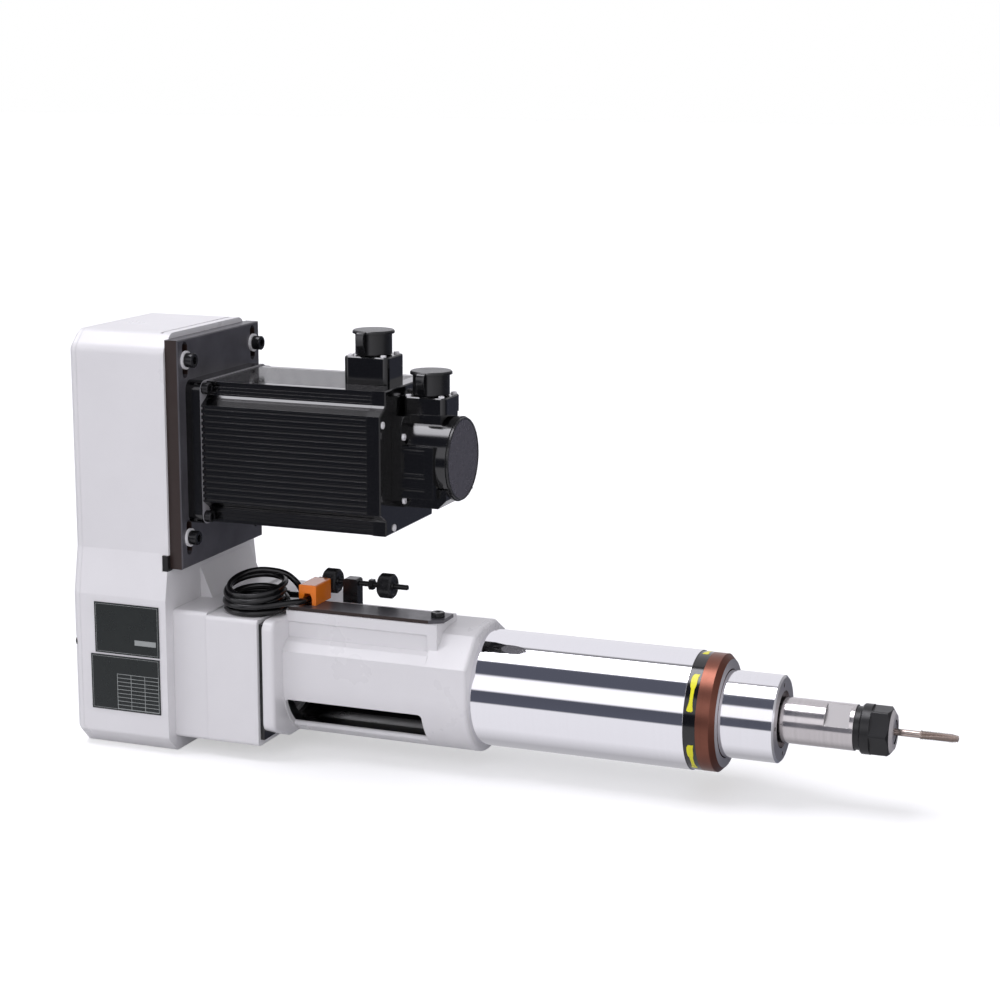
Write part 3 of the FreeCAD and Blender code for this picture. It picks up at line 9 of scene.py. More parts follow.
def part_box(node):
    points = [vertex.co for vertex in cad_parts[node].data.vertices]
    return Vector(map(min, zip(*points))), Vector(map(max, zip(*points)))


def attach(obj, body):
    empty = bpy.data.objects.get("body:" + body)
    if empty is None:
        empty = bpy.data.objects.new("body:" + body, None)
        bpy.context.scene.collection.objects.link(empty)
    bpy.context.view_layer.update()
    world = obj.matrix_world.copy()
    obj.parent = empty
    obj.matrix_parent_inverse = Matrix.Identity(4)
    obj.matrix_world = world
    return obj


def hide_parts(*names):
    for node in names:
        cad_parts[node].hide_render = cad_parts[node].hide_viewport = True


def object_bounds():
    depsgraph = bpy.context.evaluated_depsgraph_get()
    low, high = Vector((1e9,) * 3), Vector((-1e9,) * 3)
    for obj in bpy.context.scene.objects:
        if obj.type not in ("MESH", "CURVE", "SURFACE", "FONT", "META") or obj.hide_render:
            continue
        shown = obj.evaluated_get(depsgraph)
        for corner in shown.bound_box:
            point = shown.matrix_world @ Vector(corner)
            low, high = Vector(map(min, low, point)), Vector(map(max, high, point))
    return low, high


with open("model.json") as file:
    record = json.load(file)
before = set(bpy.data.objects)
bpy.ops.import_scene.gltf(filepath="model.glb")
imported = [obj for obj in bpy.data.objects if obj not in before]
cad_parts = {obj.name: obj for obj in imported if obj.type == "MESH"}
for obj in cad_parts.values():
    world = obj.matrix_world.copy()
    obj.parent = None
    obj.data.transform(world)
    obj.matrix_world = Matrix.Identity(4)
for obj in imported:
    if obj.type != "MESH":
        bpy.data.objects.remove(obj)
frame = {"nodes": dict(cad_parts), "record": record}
cad_low, cad_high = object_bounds()
MM = 0.001
NODES = frame["nodes"]
TURN = 2 * math.pi


# Camera: matched to the photograph
CAMERA_AT = (0.51851, -1.34130, 0.42642)
CAMERA_AZIMUTH = 20.88
CAMERA_ELEVATION = 11.61
CAMERA_ROLL = 0.22
CAMERA_LENS = 78.08


def make_camera():
    azimuth = math.radians(CAMERA_AZIMUTH)
    elevation = math.radians(CAMERA_ELEVATION)
    back = Vector((math.sin(azimuth) * math.cos(elevation), -math.cos(azimuth) * math.cos(elevation),
                   math.sin(elevation)))
    right = Vector((math.cos(azimuth), math.sin(azimuth), 0))
    up = back.cross(right)
    roll = math.radians(CAMERA_ROLL)
    right_rolled = right * math.cos(roll) + up * math.sin(roll)
    up_rolled = up * math.cos(roll) - right * math.sin(roll)
    data = bpy.data.cameras.new("camera")
    data.lens = CAMERA_LENS
    data.sensor_width = 36
    data.clip_end = 50
    camera = bpy.data.objects.new("camera", data)
    axes = Matrix((right_rolled, up_rolled, back)).transposed()
    camera.matrix_world = Matrix.Translation(CAMERA_AT) @ axes.to_4x4()
    bpy.context.scene.collection.objects.link(camera)
    bpy.context.scene.camera = camera


# Places read from the frame
def middle(node):
    low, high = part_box(node)
    return (low + high) / 2


MOTOR_Z = middle("motor_shaft").z


class Tree:
    """Short names for building a material's nodes."""

    def __init__(self, name):
        self.material = bpy.data.materials.new(name)
        self.material.use_nodes = True
        self.nodes = self.material.node_tree.nodes
        self.links = self.material.node_tree.links
        self.shader = self.nodes["Principled BSDF"]
        coordinates = self.nodes.new("ShaderNodeTexCoord")
        self.place = coordinates.outputs["Object"]
        self.facing_way = coordinates.outputs["Normal"]

    def link(self, source, target):
        self.links.new(source, target)

    def stretched(self, scale):
        node = self.nodes.new("ShaderNodeMapping")
        node.inputs["Scale"].default_value = scale
        self.link(self.place, node.inputs["Vector"])
        return node.outputs["Vector"]

    def noise(self, scale, detail=3.0, vector=None, roughness=0.55):
        node = self.nodes.new("ShaderNodeTexNoise")
        node.inputs["Scale"].default_value = scale
        node.inputs["Detail"].default_value = detail
        node.inputs["Roughness"].default_value = roughness
        self.link(vector or self.place, node.inputs["Vector"])
        return node.outputs["Fac"]

    def spots(self, scale):
        node = self.nodes.new("ShaderNodeTexVoronoi")
        node.inputs["Scale"].default_value = scale
        self.link(self.place, node.inputs["Vector"])
        return node.outputs["Distance"]

    def remap(self, value, low, high, out_low, out_high):
        node = self.nodes.new("ShaderNodeMapRange")
        node.inputs["From Min"].default_value = low
        node.inputs["From Max"].default_value = high
        node.inputs["To Min"].default_value = out_low
        node.inputs["To Max"].default_value = out_high
        self.link(value, node.inputs["Value"])
        return node.outputs["Result"]

    def maths(self, kind, *values):
        node = self.nodes.new("ShaderNodeMath")
        node.operation = kind
        for socket, value in zip(node.inputs, values):
            if isinstance(value, (int, float)):
                socket.default_value = value
            else:
                self.link(value, socket)
        return node.outputs["Value"]

    def blend(self, share, first, second):
        node = self.nodes.new("ShaderNodeMix")
        node.data_type = "RGBA"
        if isinstance(share, (int, float)):
            node.inputs["Factor"].default_value = share
        else:
            self.link(share, node.inputs["Factor"])
        for name, value in (("A", first), ("B", second)):
            socket = [s for s in node.inputs if s.name == name and s.type == "RGBA"][0]
            if isinstance(value, tuple):
                socket.default_value = (*value, 1)
            else:
                self.link(value, socket)
        return [s for s in node.outputs if s.type == "RGBA"][0]

    def split(self, vector):
        node = self.nodes.new("ShaderNodeSeparateXYZ")
        self.link(vector, node.inputs[0])
        return node.outputs

    def facing(self, axis, sign=1, low=0.90, high=0.96):
        """1 where the surface faces along an axis of the object, 0 elsewhere."""
        part = self.split(self.facing_way)[axis]
        return self.remap(part, sign * low, sign * high, 0.0, 1.0)

    def radius(self, y0=0.0, z0=0.0):
        """Distance from a line along X."""
        parts = self.split(self.place)
        y = self.maths("SUBTRACT", parts["Y"], y0)
        z = self.maths("SUBTRACT", parts["Z"], z0)
        squares = self.maths("ADD", self.maths("MULTIPLY", y, y), self.maths("MULTIPLY", z, z))
        return self.maths("SQRT", squares)

    def within(self, axis, low, high):
        """1 between two places along an axis of the object."""
        part = self.split(self.place)[axis]
        return self.maths("COMPARE", part, (low + high) / 2, (high - low) / 2)

    def field(self, x_range, z_range):
        """1 inside a rectangle on a face that looks along Y."""
        return self.maths("MULTIPLY", self.within("X", *x_range), self.within("Z", *z_range))

    def rounded(self, radius):
        node = self.nodes.new("ShaderNodeBevel")
        node.samples = 4
        node.inputs["Radius"].default_value = radius
        return node.outputs["Normal"]

    def bump(self, height, strength, distance, normal=None):
        node = self.nodes.new("ShaderNodeBump")
        node.inputs["Strength"].default_value = strength
        node.inputs["Distance"].default_value = distance
        self.link(height, node.inputs["Height"])
        if normal is not None:
            self.link(normal, node.inputs["Normal"])
        return node.outputs["Normal"]

    def edges(self, normal, low, high):
        """1 where the rounded normal leaves the true one: along sharp edges."""
        geometry = self.nodes.new("ShaderNodeNewGeometry")
        dot = self.nodes.new("ShaderNodeVectorMath")
        dot.operation = "DOT_PRODUCT"
        self.link(geometry.outputs["Normal"], dot.inputs[0])
        self.link(normal, dot.inputs[1])
        return self.remap(dot.outputs["Value"], high, low, 0.0, 1.0)

    def finish(self, color, roughness, normal, metal=0.0, coat=0.0, coat_roughness=0.15, ior=1.5):
        self.link(color, self.shader.inputs["Base Color"])
        self.link(roughness, self.shader.inputs["Roughness"])
        self.link(normal, self.shader.inputs["Normal"])
        if isinstance(metal, (int, float)):
            self.shader.inputs["Metallic"].default_value = metal
        else:
            self.link(metal, self.shader.inputs["Metallic"])
        self.shader.inputs["Coat Weight"].default_value = coat
        self.shader.inputs["Coat Roughness"].default_value = coat_roughness
        self.shader.inputs["IOR"].default_value = ior
        return self.material


def tone(color, share):
    return tuple(min(1.0, part * share) for part in color)


# Materials

# Painted shade: the near black laid on the casting's unlit bore
SHADE = (0.0025, 0.0025, 0.003)
WHITE_PAINT = (0.80, 0.79, 0.80)
# The casting's bore is painted near black as shade up to here, and the quill is painted near black as shade up
# to here
BORE_SHADE_END = -31.0 * MM
QUILL_SHADE_END = -20.0 * MM
BORE_RADIUS = 41.5 * MM
# The spindle's spanner flats: their normal in Y and Z, and where they lie along X
FLAT_NORMAL = (-0.669, 0.743)
FLAT_RANGE = (236.1 * MM, 252.4 * MM)
NUT_FACE_RADIUS = 14.2 * MM
CAP_FACE_RADIUS = 27.2 * MM


def enamel(name, color, gloss=0.32, peel=0.12, wear=0.3, worn=(0.66, 0.66, 0.67), bore=None):
    """Sprayed paint over a casting: orange peel, faint cloudy tone, fine dust and rubbed edges.
    bore is a radius about the spindle's axis, within which the casting's colour is painted shade."""
    tree = Tree(name)
    cloud = tree.noise(14, 4)
    speck = tree.remap(tree.spots(900), 0.0, 0.03, 1.0, 0.0)
    grime = tree.remap(tree.noise(16, 2), 0.45, 0.85, 0.0, 0.14)
    base = tree.blend(tree.remap(cloud, 0.35, 0.7, 0, 1), tone(color, 0.975), tone(color, 1.015))
    base = tree.blend(grime, base, tone(color, 0.88))
    base = tree.blend(tree.maths("MULTIPLY", speck, 0.28), base, tone(color, 0.65))
    normal = tree.rounded(0.0009)
    worn_spots = tree.remap(tree.noise(160, 3), 0.48, 0.66, 0, wear)
    rub = tree.maths("MULTIPLY", tree.edges(normal, 0.86, 0.97), worn_spots)
    base = tree.blend(rub, base, worn)
    if bore:
        # Painted shade: the bore behind the nose is coloured near black where it is only unlit
        inside = tree.maths("MULTIPLY", tree.maths("LESS_THAN", tree.radius(), bore),
                            tree.maths("LESS_THAN", tree.split(tree.place)["X"], BORE_SHADE_END))
        base = tree.blend(inside, base, SHADE)
    rough = tree.remap(tree.noise(35, 4), 0.3, 0.7, gloss - 0.05, gloss + 0.08)
    normal = tree.bump(tree.noise(650, 2), peel, 0.0001, normal)
    normal = tree.bump(tree.noise(90, 2), 0.04, 0.0006, normal)
    return tree.finish(base, rough, normal, coat=0.06, coat_roughness=0.3)


def coated(name, color, gloss, worn, wear=0.5, grain=0.2, metal=0.0, coat=0.0, radius=0.0005, ior=1.5,
           spread=0.05, patch=None):
    """Black oxide, anodising or moulded skin: fine grain, uneven sheen and brighter edges.
    patch(tree) may give a mask and a colour for a part that looks different."""
    tree = Tree(name)
    base = tree.blend(tree.remap(tree.noise(40, 5), 0.35, 0.7, 0, 1), tone(color, 0.85), tone(color, 1.2))
    normal = tree.rounded(radius)
    worn_spots = tree.remap(tree.noise(220, 5), 0.42, 0.62, 0.1, wear)
    rub = tree.maths("MULTIPLY", tree.edges(normal, 0.88, 0.99), worn_spots)
    base = tree.blend(rub, base, worn)
    share = metal
    if patch:
        mask, other, other_metal = patch(tree)
        base = tree.blend(mask, base, other)
        share = tree.remap(mask, 0, 1, metal, other_metal)
    sheen = tree.remap(tree.noise(120, 5, roughness=0.7), 0.3, 0.7, gloss - spread, gloss + spread)
    normal = tree.bump(tree.noise(1800, 2), grain, 0.00004, normal)
    return tree.finish(base, sheen, normal, share, coat, 0.12, ior)


def turned_metal(name, color, gloss, rings=0.12, spread=0.05, radius=0.0003, tint=None, patch=None,
                 banding=0.05):
    """Metal turned or ground about the spindle's axis: tool lines run round it.
    patch(tree) may give a mask, a colour and a roughness for a part that looks different."""
    tree = Tree(name)
    lines = tree.noise(1, 4, tree.stretched((5200, 35, 35)), roughness=0.7)
    bands = tree.noise(1, 2, tree.stretched((420, 4, 4)))
    smear = tree.noise(38, 5, roughness=0.65)
    base = tree.blend(tree.remap(bands, 0.3, 0.7, 0, 1), tone(color, 1 - banding),
                      tone(color, 1 + banding / 2))
    if tint:
        base = tree.blend(tree.remap(smear, 0.45, 0.75, 0, 0.6), base, tint)
    rough = tree.remap(smear, 0.3, 0.75, gloss - spread, gloss + spread)
    if patch:
        mask, other, rougher = patch(tree)
        base = tree.blend(mask, base, other)
        rough = tree.maths("MAXIMUM", rough, tree.maths("MULTIPLY", mask, rougher))
    normal = tree.bump(lines, rings, 0.00003, tree.rounded(radius))
    return tree.finish(base, rough, normal, 1.0)


def printed_band(name):
    """Glossy wrapped marker tape with a fine surface and small scuffs."""
    tree = Tree(name)
    scuff = tree.remap(tree.noise(260, 6, roughness=0.75), 0.6, 0.72, 0, 0.35)
    base = tree.blend(scuff, (0.003, 0.003, 0.004), (0.02, 0.02, 0.021))
    rough = tree.remap(tree.noise(80), 0.3, 0.7, 0.10, 0.16)
    normal = tree.bump(tree.noise(500, 2), 0.06, 0.00005)
    return tree.finish(base, rough, normal, coat=0.3, coat_roughness=0.08)


def plain_finish(name, color, gloss, grain=0.15, speckle=0.1, coat=0.0):
    """Small moulded, printed or painted trim."""
    tree = Tree(name)
    dust = tree.remap(tree.noise(300, 5, roughness=0.7), 0.5, 0.8, 0, speckle)
    base = tree.blend(dust, color, tone(color, 0.55))
    rough = tree.remap(tree.noise(90), 0.3, 0.7, gloss - 0.05, gloss + 0.07)
    normal = tree.bump(tree.noise(1200, 2), grain, 0.00005, tree.rounded(0.0004))
    return tree.finish(base, rough, normal, coat=coat)


def blank_plate(name, node, fields, grid=None):
    """A dark printed plate: a thin pale border, bare pale fields and an empty grid, with no words."""
    tree = Tree(name)
    low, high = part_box(node)
    ground = (0.006, 0.010, 0.009)
    pale = (0.34, 0.36, 0.35)
    rim = 1.0 * MM
    line = 0.22 * MM
    outer, inner = (tree.field((low.x + inset, high.x - inset), (low.z + inset, high.z - inset))
                    for inset in (rim, rim + line))
    marks = tree.maths("SUBTRACT", outer, inner)
    for x_range, z_range in fields:
        marks = tree.maths("MAXIMUM", marks, tree.field(x_range, z_range))
    if grid:
        (x0, x1), (z0, z1), columns, rows = grid
        parts = tree.split(tree.place)
        stripes = []
        for part, start, end, count in ((parts["X"], x0, x1, columns), (parts["Z"], z0, z1, rows)):
            step = (end - start) / count
            wave = tree.maths("PINGPONG", tree.maths("SUBTRACT", part, start), step / 2)
            stripes.append(tree.maths("LESS_THAN", wave, 0.18 * MM))
        crossed = tree.maths("MAXIMUM", *stripes)
        reach = tree.field((x0 - line, x1 + line), (z0 - line, z1 + line))
        marks = tree.maths("MAXIMUM", marks, tree.maths("MULTIPLY", crossed, reach))
    scuff = tree.remap(tree.noise(300, 5, roughness=0.7), 0.55, 0.8, 0, 0.2)
    base = tree.blend(marks, tree.blend(scuff, ground, (0.03, 0.034, 0.033)), pale)
    rough = tree.remap(tree.noise(90), 0.3, 0.7, 0.24, 0.34)
    return tree.finish(base, rough, tree.bump(tree.noise(1200, 2), 0.05, 0.00005), coat=0.1)


def bare_front(color, metal=1.0):
    """A machined face that looks along +X."""
    return lambda tree: (tree.facing("X"), color, metal)


def ring_front(tree):
    """The ring's front face, turned bare."""
    return tree.facing("X", low=0.93, high=0.97), (0.62, 0.60, 0.62), 0.6


def faced_steel(tree):
    """The spindle's two ground flats behind its nose, and faces turned square to the axis."""
    parts = tree.split(tree.facing_way)
    lean = tree.maths("ADD", tree.maths("MULTIPLY", parts["Y"], FLAT_NORMAL[0]),
                      tree.maths("MULTIPLY", parts["Z"], FLAT_NORMAL[1]))
    level = tree.maths("GREATER_THAN", tree.maths("ABSOLUTE", lean, 0), 0.9998)
    flats = tree.maths("MULTIPLY", level, tree.within("X", *FLAT_RANGE))
    color = tree.blend(flats, (0.70, 0.68, 0.69), (0.32, 0.31, 0.31))
    return tree.maths("MAXIMUM", flats, tree.facing("X")), color, 0.52


def nut_front(tree):
    """The nut's bare front about the collet."""
    face = tree.maths("MULTIPLY", tree.facing("X", low=0.55, high=0.65),
                      tree.maths("LESS_THAN", tree.radius(), NUT_FACE_RADIUS))
    return face, (0.50, 0.475, 0.48), 0.2


def cap_front(tree):
    """The matt disc on the encoder's cap."""
    face = tree.maths("MULTIPLY", tree.facing("X"),
                      tree.maths("LESS_THAN", tree.radius(0, MOTOR_Z), CAP_FACE_RADIUS))
    return face, (0.085, 0.08, 0.092), 0.0


def plate_side(tree):
    """The plate's sawn near side, brownish under its oxide."""
    return tree.facing("Y", -1), (0.030, 0.017, 0.014), 0.0


def inside_body(tree):
    """The part of the quill that never leaves the casting, painted near black as shade, and its plainly turned
    front.
    """
    inside = tree.maths("LESS_THAN", tree.split(tree.place)["X"], QUILL_SHADE_END)
    # Painted shade: near black on the quill inside the unlit casting
    color = tree.blend(inside, (0.72, 0.71, 0.73), (0.006, 0.006, 0.008))
    return tree.maths("MAXIMUM", inside, tree.facing("X")), color, 0.55


def make_materials():
    """One finish for each material slot of the record."""
    return {
        "casting_paint": enamel("casting_paint", WHITE_PAINT),
        "plate_black": coated("plate_black", (0.092, 0.089, 0.100), 0.34, (0.10, 0.085, 0.08), 0.5, 0.25,
                              0.2, 0.1, patch=plate_side),
        "motor_black": coated("motor_black", (0.0020, 0.0020, 0.0024), 0.13, (0.02, 0.02, 0.022), 0.3, 0.06,
                              0.0, 0.5, 0.0004, 1.5, 0.025),
        "encoder_grey": coated("encoder_grey", (0.005, 0.005, 0.006), 0.22, (0.03, 0.03, 0.032), 0.4, 0.12, 0.0,
                               0.2, 0.0005, 1.5, 0.04),
        "steel": turned_metal("steel", (0.60, 0.57, 0.57), 0.17, 0.08, 0.035, patch=faced_steel),
        "black_steel": coated("black_steel", (0.012, 0.012, 0.0135), 0.24, (0.16, 0.16, 0.17), 0.6, 0.2, 0.4,
                              0.1, 0.0003),
        "chrome": turned_metal("chrome", (0.90, 0.895, 0.92), 0.045, 0.006, 0.01, banding=0.008),
        "copper_ring": turned_metal("copper_ring", (0.225, 0.088, 0.062), 0.34, 0.08, 0.05, 0.0004,
                                    (0.165, 0.064, 0.045), ring_front),
        "band_black": printed_band("band_black"),
        "black_plastic": coated("black_plastic", (0.008, 0.008, 0.009), 0.30, (0.04, 0.04, 0.04), 0.4, 0.3, 0.0,
                                0.1),
        "black_rubber": coated("black_rubber", (0.005, 0.005, 0.006), 0.22, (0.03, 0.03, 0.03), 0.3, 0.2, 0.0,
                               0.3),
        "aluminium": turned_metal("aluminium", (0.70, 0.70, 0.71), 0.24),
        "nut_black": coated("nut_black", (0.005, 0.005, 0.006), 0.33, (0.06, 0.06, 0.063), 0.4, 0.15, 0.0, 0.0,
                            0.0004, patch=nut_front),
        "tap_steel": turned_metal("tap_steel", (0.44, 0.37, 0.335), 0.24, 0.08, 0.05, 0.00008),
        "sensor_orange": plain_finish("sensor_orange", (1.0, 0.24, 0.015), 0.16, 0.05, 0.08, 0.6),
        "cable_black": coated("cable_black", (0.003, 0.003, 0.0035), 0.22, (0.01, 0.01, 0.01), 0.2, 0.15),
        "label": plain_finish("label", (0.006, 0.010, 0.009), 0.28, 0.05, 0.2),
    }


def make_special_materials():
    """Finishes of single nodes and of the small trim."""
    value_field = ((-238.9 * MM, -222.1 * MM), (22.2 * MM, 25.9 * MM))
    lower_grid = ((-253.6 * MM, -220.8 * MM), (-25.0 * MM, 0.1 * MM), 3, 9)
    return {
        "casting_bored": enamel("casting_bored", WHITE_PAINT, 0.30, bore=BORE_RADIUS),
        "flange_black": coated("flange_black", (0.0020, 0.0020, 0.0024), 0.15, (0.02, 0.02, 0.022), 0.3, 0.06,
                               0.0, 0.4, 0.0004, 1.5, 0.03, bare_front((0.42, 0.41, 0.43), 0.1)),
        "cap_grey": coated("cap_grey", (0.008, 0.008, 0.009), 0.26, (0.05, 0.05, 0.052), 0.5, 0.2, 0.0, 0.1,
                           0.0005, patch=cap_front),
        "zinc": plain_finish("zinc", (0.86, 0.85, 0.86), 0.26, 0.1, 0.15, 0.4),
        "quill_chrome": turned_metal("quill_chrome", (0.88, 0.875, 0.90), 0.09, 0.012, 0.02, patch=inside_body,
                                     banding=0.015),
        "plate_upper": blank_plate("plate_upper", "name_plate_upper", [value_field]),
        "plate_lower": blank_plate("plate_lower", "name_plate_lower", [], lower_grid),
        "mark_yellow": plain_finish("mark_yellow", (0.80, 0.76, 0.01), 0.3, 0.05, 0.1),
    }


SPECIAL = {
    "quill_body": "casting_bored", "motor_flange": "flange_black", "encoder_cap": "cap_grey",
    "quill": "quill_chrome", "name_plate_upper": "plate_upper", "name_plate_lower": "plate_lower",
    "plate_washer_1": "zinc", "plate_washer_2": "zinc", "plate_washer_3": "zinc", "plate_washer_4": "zinc",
}


# Mesh helpers


def add_piece(name, mesh, material, body, smooth=True):
    piece = bpy.data.objects.new(name, mesh)
    bpy.context.scene.collection.objects.link(piece)
    mesh.materials.append(material)
    if smooth:
        mesh.polygons.foreach_set("use_smooth", [True] * len(mesh.polygons))
    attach(piece, body)
    return piece


def mesh_from(bm, name):
    bmesh.ops.recalc_face_normals(bm, faces=bm.faces)
    mesh = bpy.data.meshes.new(name)
    bm.to_mesh(mesh)
    bm.free()
    return mesh


def rings_of(bm, rows):
    """Joins rows of points into a skin, with a lid at each end."""
    made = [[bm.verts.new(point) for point in row] for row in rows]
    for first, second in zip(made, made[1:]):
        count = len(first)
        for i in range(count):
            j = (i + 1) % count
            bm.faces.new((first[i], first[j], second[j], second[i]))
    bm.faces.new(made[0])
    bm.faces.new(made[-1])


def surface_of_turn(name, profile, around, centre=(0, 0), shape=None):
    """A closed body about an axis along X. profile holds (x, radius) pairs; shape(x, radius, angle) may
    vary a radius."""
    bm = bmesh.new()
    y0, z0 = centre
    rows = []
    for x, r in profile:
        row = []
        for i in range(around):
            angle = TURN * i / around
            wide = shape(x, r, angle) if shape else r
            row.append((x, y0 + wide * math.cos(angle), z0 + wide * math.sin(angle)))
        rows.append(row)
    rings_of(bm, rows)
    return mesh_from(bm, name)


def spaced(start, end, count):
    return [start + (end - start) * i / count for i in range(count + 1)]


def add_heads(name, places, axis, radius, tall, material, body, sunk=0.3 * MM):
    """Socket heads, all on one side of the object: each has a rounded rim and a real hexagon recess."""
    bm = bmesh.new()
    around = 36
    edge = radius * 0.14
    key = radius * 0.5

    def hexagon(angle):
        return key / math.cos((angle + math.pi / 6) % (math.pi / 3) - math.pi / 6)

    rings = [(lambda a: radius, -sunk), (lambda a: radius, tall - edge),
             (lambda a: radius - edge * 0.3, tall - edge * 0.3), (lambda a: radius - edge, tall),
             (hexagon, tall), (hexagon, tall * 0.45)]
    for place in places:
        rows = []
        for radius_at, height in rings:
            row = []
            for i in range(around):
                angle = TURN * i / around
                across = radius_at(angle)
                u, v = across * math.cos(angle), across * math.sin(angle)
                offset = (height, u, v) if axis == "X" else (u, v, height)
                row.append(Vector(place) + Vector(offset))
            rows.append(row)
        rings_of(bm, rows)
    return add_piece(name, mesh_from(bm, name), material, body, smooth=False)


make_camera()
LOOK = make_materials()
LOOK.update(make_special_materials())
for entry in frame["record"]["subparts"]:
    node = NODES[entry["node"]]
    node.data.materials.clear()
    node.data.materials.append(LOOK[SPECIAL.get(entry["node"], entry["material_slot"])])


# Sensor cable: out of the sensor's arch, round into the coil, and to its plug behind the coil
CABLE = 4.4 * MM
LEAD_HEIGHT = 55.5 * MM
LEAD_ROUTE = [(-125.5, -17.5), (-125.5, -29.5), (-134.0, -38.0)]
COIL_CENTRE = (-162.0 * MM, -32.0 * MM)
COIL_STEPS = 16
COIL_START = -20
# Loose turns: radius, height at the near side and at the far side, in millimetres
TURNS = [(21.6, 53.6, 55.5), (21.2, 49.0, 50.3), (17.6, 50.6, 54.0), (18.2, 54.6, 59.6), (21.4, 57.0, 67.4),
         (18.8, 60.4, 71.0)]
PLUG_ROUTE = [(-150.5, -10.6, 69.4), (-143.6, -8.6, 64.0), (-139.8, -6.4, 57.4), (-140.6, -3.6, 52.8),
              (-145.4, -2.0, 51.65), (-151.6, -2.0, 51.65)]


def eased(share):
    return share * share * (3 - 2 * share)


def cable_points():
    """The lead's points as listed, the coil's turns by a loop, then the end's points as listed."""
    points = [Vector((x * MM, y * MM, LEAD_HEIGHT)) for x, y in LEAD_ROUTE]
    steps = (len(TURNS) - 1) * COIL_STEPS + int(COIL_STEPS * 0.72)
    for step in range(1, steps + 1):
        turn = step / COIL_STEPS
        layer = int(turn)
        angle = math.radians(COIL_START) - TURN * turn
        share = eased(max(0.0, (turn - layer) * 4 - 3))
        wide, near, far = TURNS[layer]
        if layer + 1 < len(TURNS):
            wide, near, far = (a + (b - a) * share for a, b in zip(TURNS[layer], TURNS[layer + 1]))
        wide += 0.35 * math.sin(2.7 * turn)
        depth = math.sin(angle)
        height = (near + far) / 2 + (far - near) / 2 * depth
        points.append(Vector((COIL_CENTRE[0] + wide * MM * math.cos(angle),
                              COIL_CENTRE[1] + wide * MM * math.sin(angle), height * MM)))
    return points + [Vector((x * MM, y * MM, z * MM)) for x, y, z in PLUG_ROUTE]


def make_cable():
    curve = bpy.data.curves.new("sensor_cable", "CURVE")
    curve.dimensions = "3D"
    curve.bevel_depth = CABLE / 2
    curve.bevel_resolution = 5
    curve.resolution_u = 8
    curve.use_fill_caps = True
    spline = curve.splines.new("NURBS")
    points = cable_points()
    spline.points.add(len(points) - 1)
    for target, point in zip(spline.points, points):
        target.co = (*point, 1)
    spline.order_u = 3
    spline.use_endpoint_u = True
    curve.materials.append(LOOK["cable_black"])
    cable = bpy.data.objects.new("sensor_cable", curve)
    bpy.context.scene.collection.objects.link(cable)
    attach(cable, "housing")
    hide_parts("cable_coil", "cable_lead")
    return cable, points


cable, cable_route = make_cable()


# Marker band: plain yellow arrows set just proud of the tape
def bent_patch(bm, outline, low_radius, high_radius):
    """A thin patch bent round the spindle's axis. outline holds rows of (degrees above the -Y side, x0, x1),
    the last two in mm."""
    rows = []
    for degrees, x0, x1 in outline:
        angle = math.radians(degrees)
        row = []
        for radius, x in ((low_radius, x0), (high_radius, x0), (high_radius, x1), (low_radius, x1)):
            row.append((x * MM, -radius * math.cos(angle), radius * math.sin(angle)))
        rows.append(row)
    rings_of(bm, rows)


def add_arrows():
    """Five arrows round the band: a wide tail and a narrower body with a small head."""
    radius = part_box("marker_band")[1].z
    bm = bmesh.new()
    pieces = 5
    for k in range(pieces):
        turn = 360 / pieces * k - 144
        outline = [(53, 152.2, 156.0), (50, 151.2, 155.5), (47, 151.0, 155.3), (44, 151.0, 155.3),
                   (41, 151.1, 155.2), (38.5, 151.4, 154.9), (37, 152.0, 154.6), (33, 152.2, 154.5),
                   (29, 152.2, 154.5), (25, 152.2, 154.5), (21, 151.8, 154.7), (18, 151.2, 155.1),
                   (15.5, 151.0, 155.3), (14.5, 152.0, 154.4)]
        bent_patch(bm, [(degrees + turn, x0, x1) for degrees, x0, x1 in outline], radius - 0.05 * MM,
                   radius + 0.08 * MM)
    add_piece("band_arrows", mesh_from(bm, "band_arrows"), LOOK["mark_yellow"], "housing",
              smooth=False)


add_arrows()


# Fasteners that are too small for nodes of their own
def add_fasteners():
    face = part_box("motor_flange")[1].x
    reach = 44.6 * MM
    corners = [(face, y, MOTOR_Z + z) for y in (-reach, reach) for z in (-reach, reach)]
    add_heads("flange_bolts", corners, "X", 4.1 * MM, 5.0 * MM, LOOK["black_steel"], "motor")

    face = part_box("motor_end_bell")[1].x
    spots = [(-45.5, 27.5), (-27.5, -45.5), (45.5, -27.5), (27.5, 45.5)]
    places = [(face, y * MM, MOTOR_Z + z * MM) for y, z in spots]
    add_heads("bell_screws", places, "X", 2.5 * MM, 0.9 * MM, LOOK["zinc"], "motor")

    plate_front = -52.0 * MM
    spots = [(-28.4, 17.4), (28.4, 17.4), (-27.8, -26.0), (27.8, -26.0)]
    places = [(plate_front, y * MM, MOTOR_Z + z * MM) for y, z in spots]
    add_heads("encoder_screws", places, "X", 2.3 * MM, 1.6 * MM, LOOK["zinc"], "motor")

    for box, name in (("power_box", "power_screws"), ("signal_box", "signal_screws")):
        low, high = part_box(box)
        centre = (low + high) / 2
        top = flat_top(box)
        places = [(centre.x + x * MM, centre.y + y * MM, top) for x in (-12.0, 12.0) for y in (-11.2, 11.2)]
        add_heads(name, places, "Z", 2.0 * MM, 1.3 * MM, LOOK["zinc"], "motor")


def flat_top(box):
    """Height of the flange under a connector's neck: the highest point near the box's corner."""
    low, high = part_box(box)
    reach = 3.5 * MM
    return max(v.co.z for v in NODES[box].data.vertices
               if v.co.x < low.x + reach and v.co.y < low.y + reach * 2)


add_fasteners()


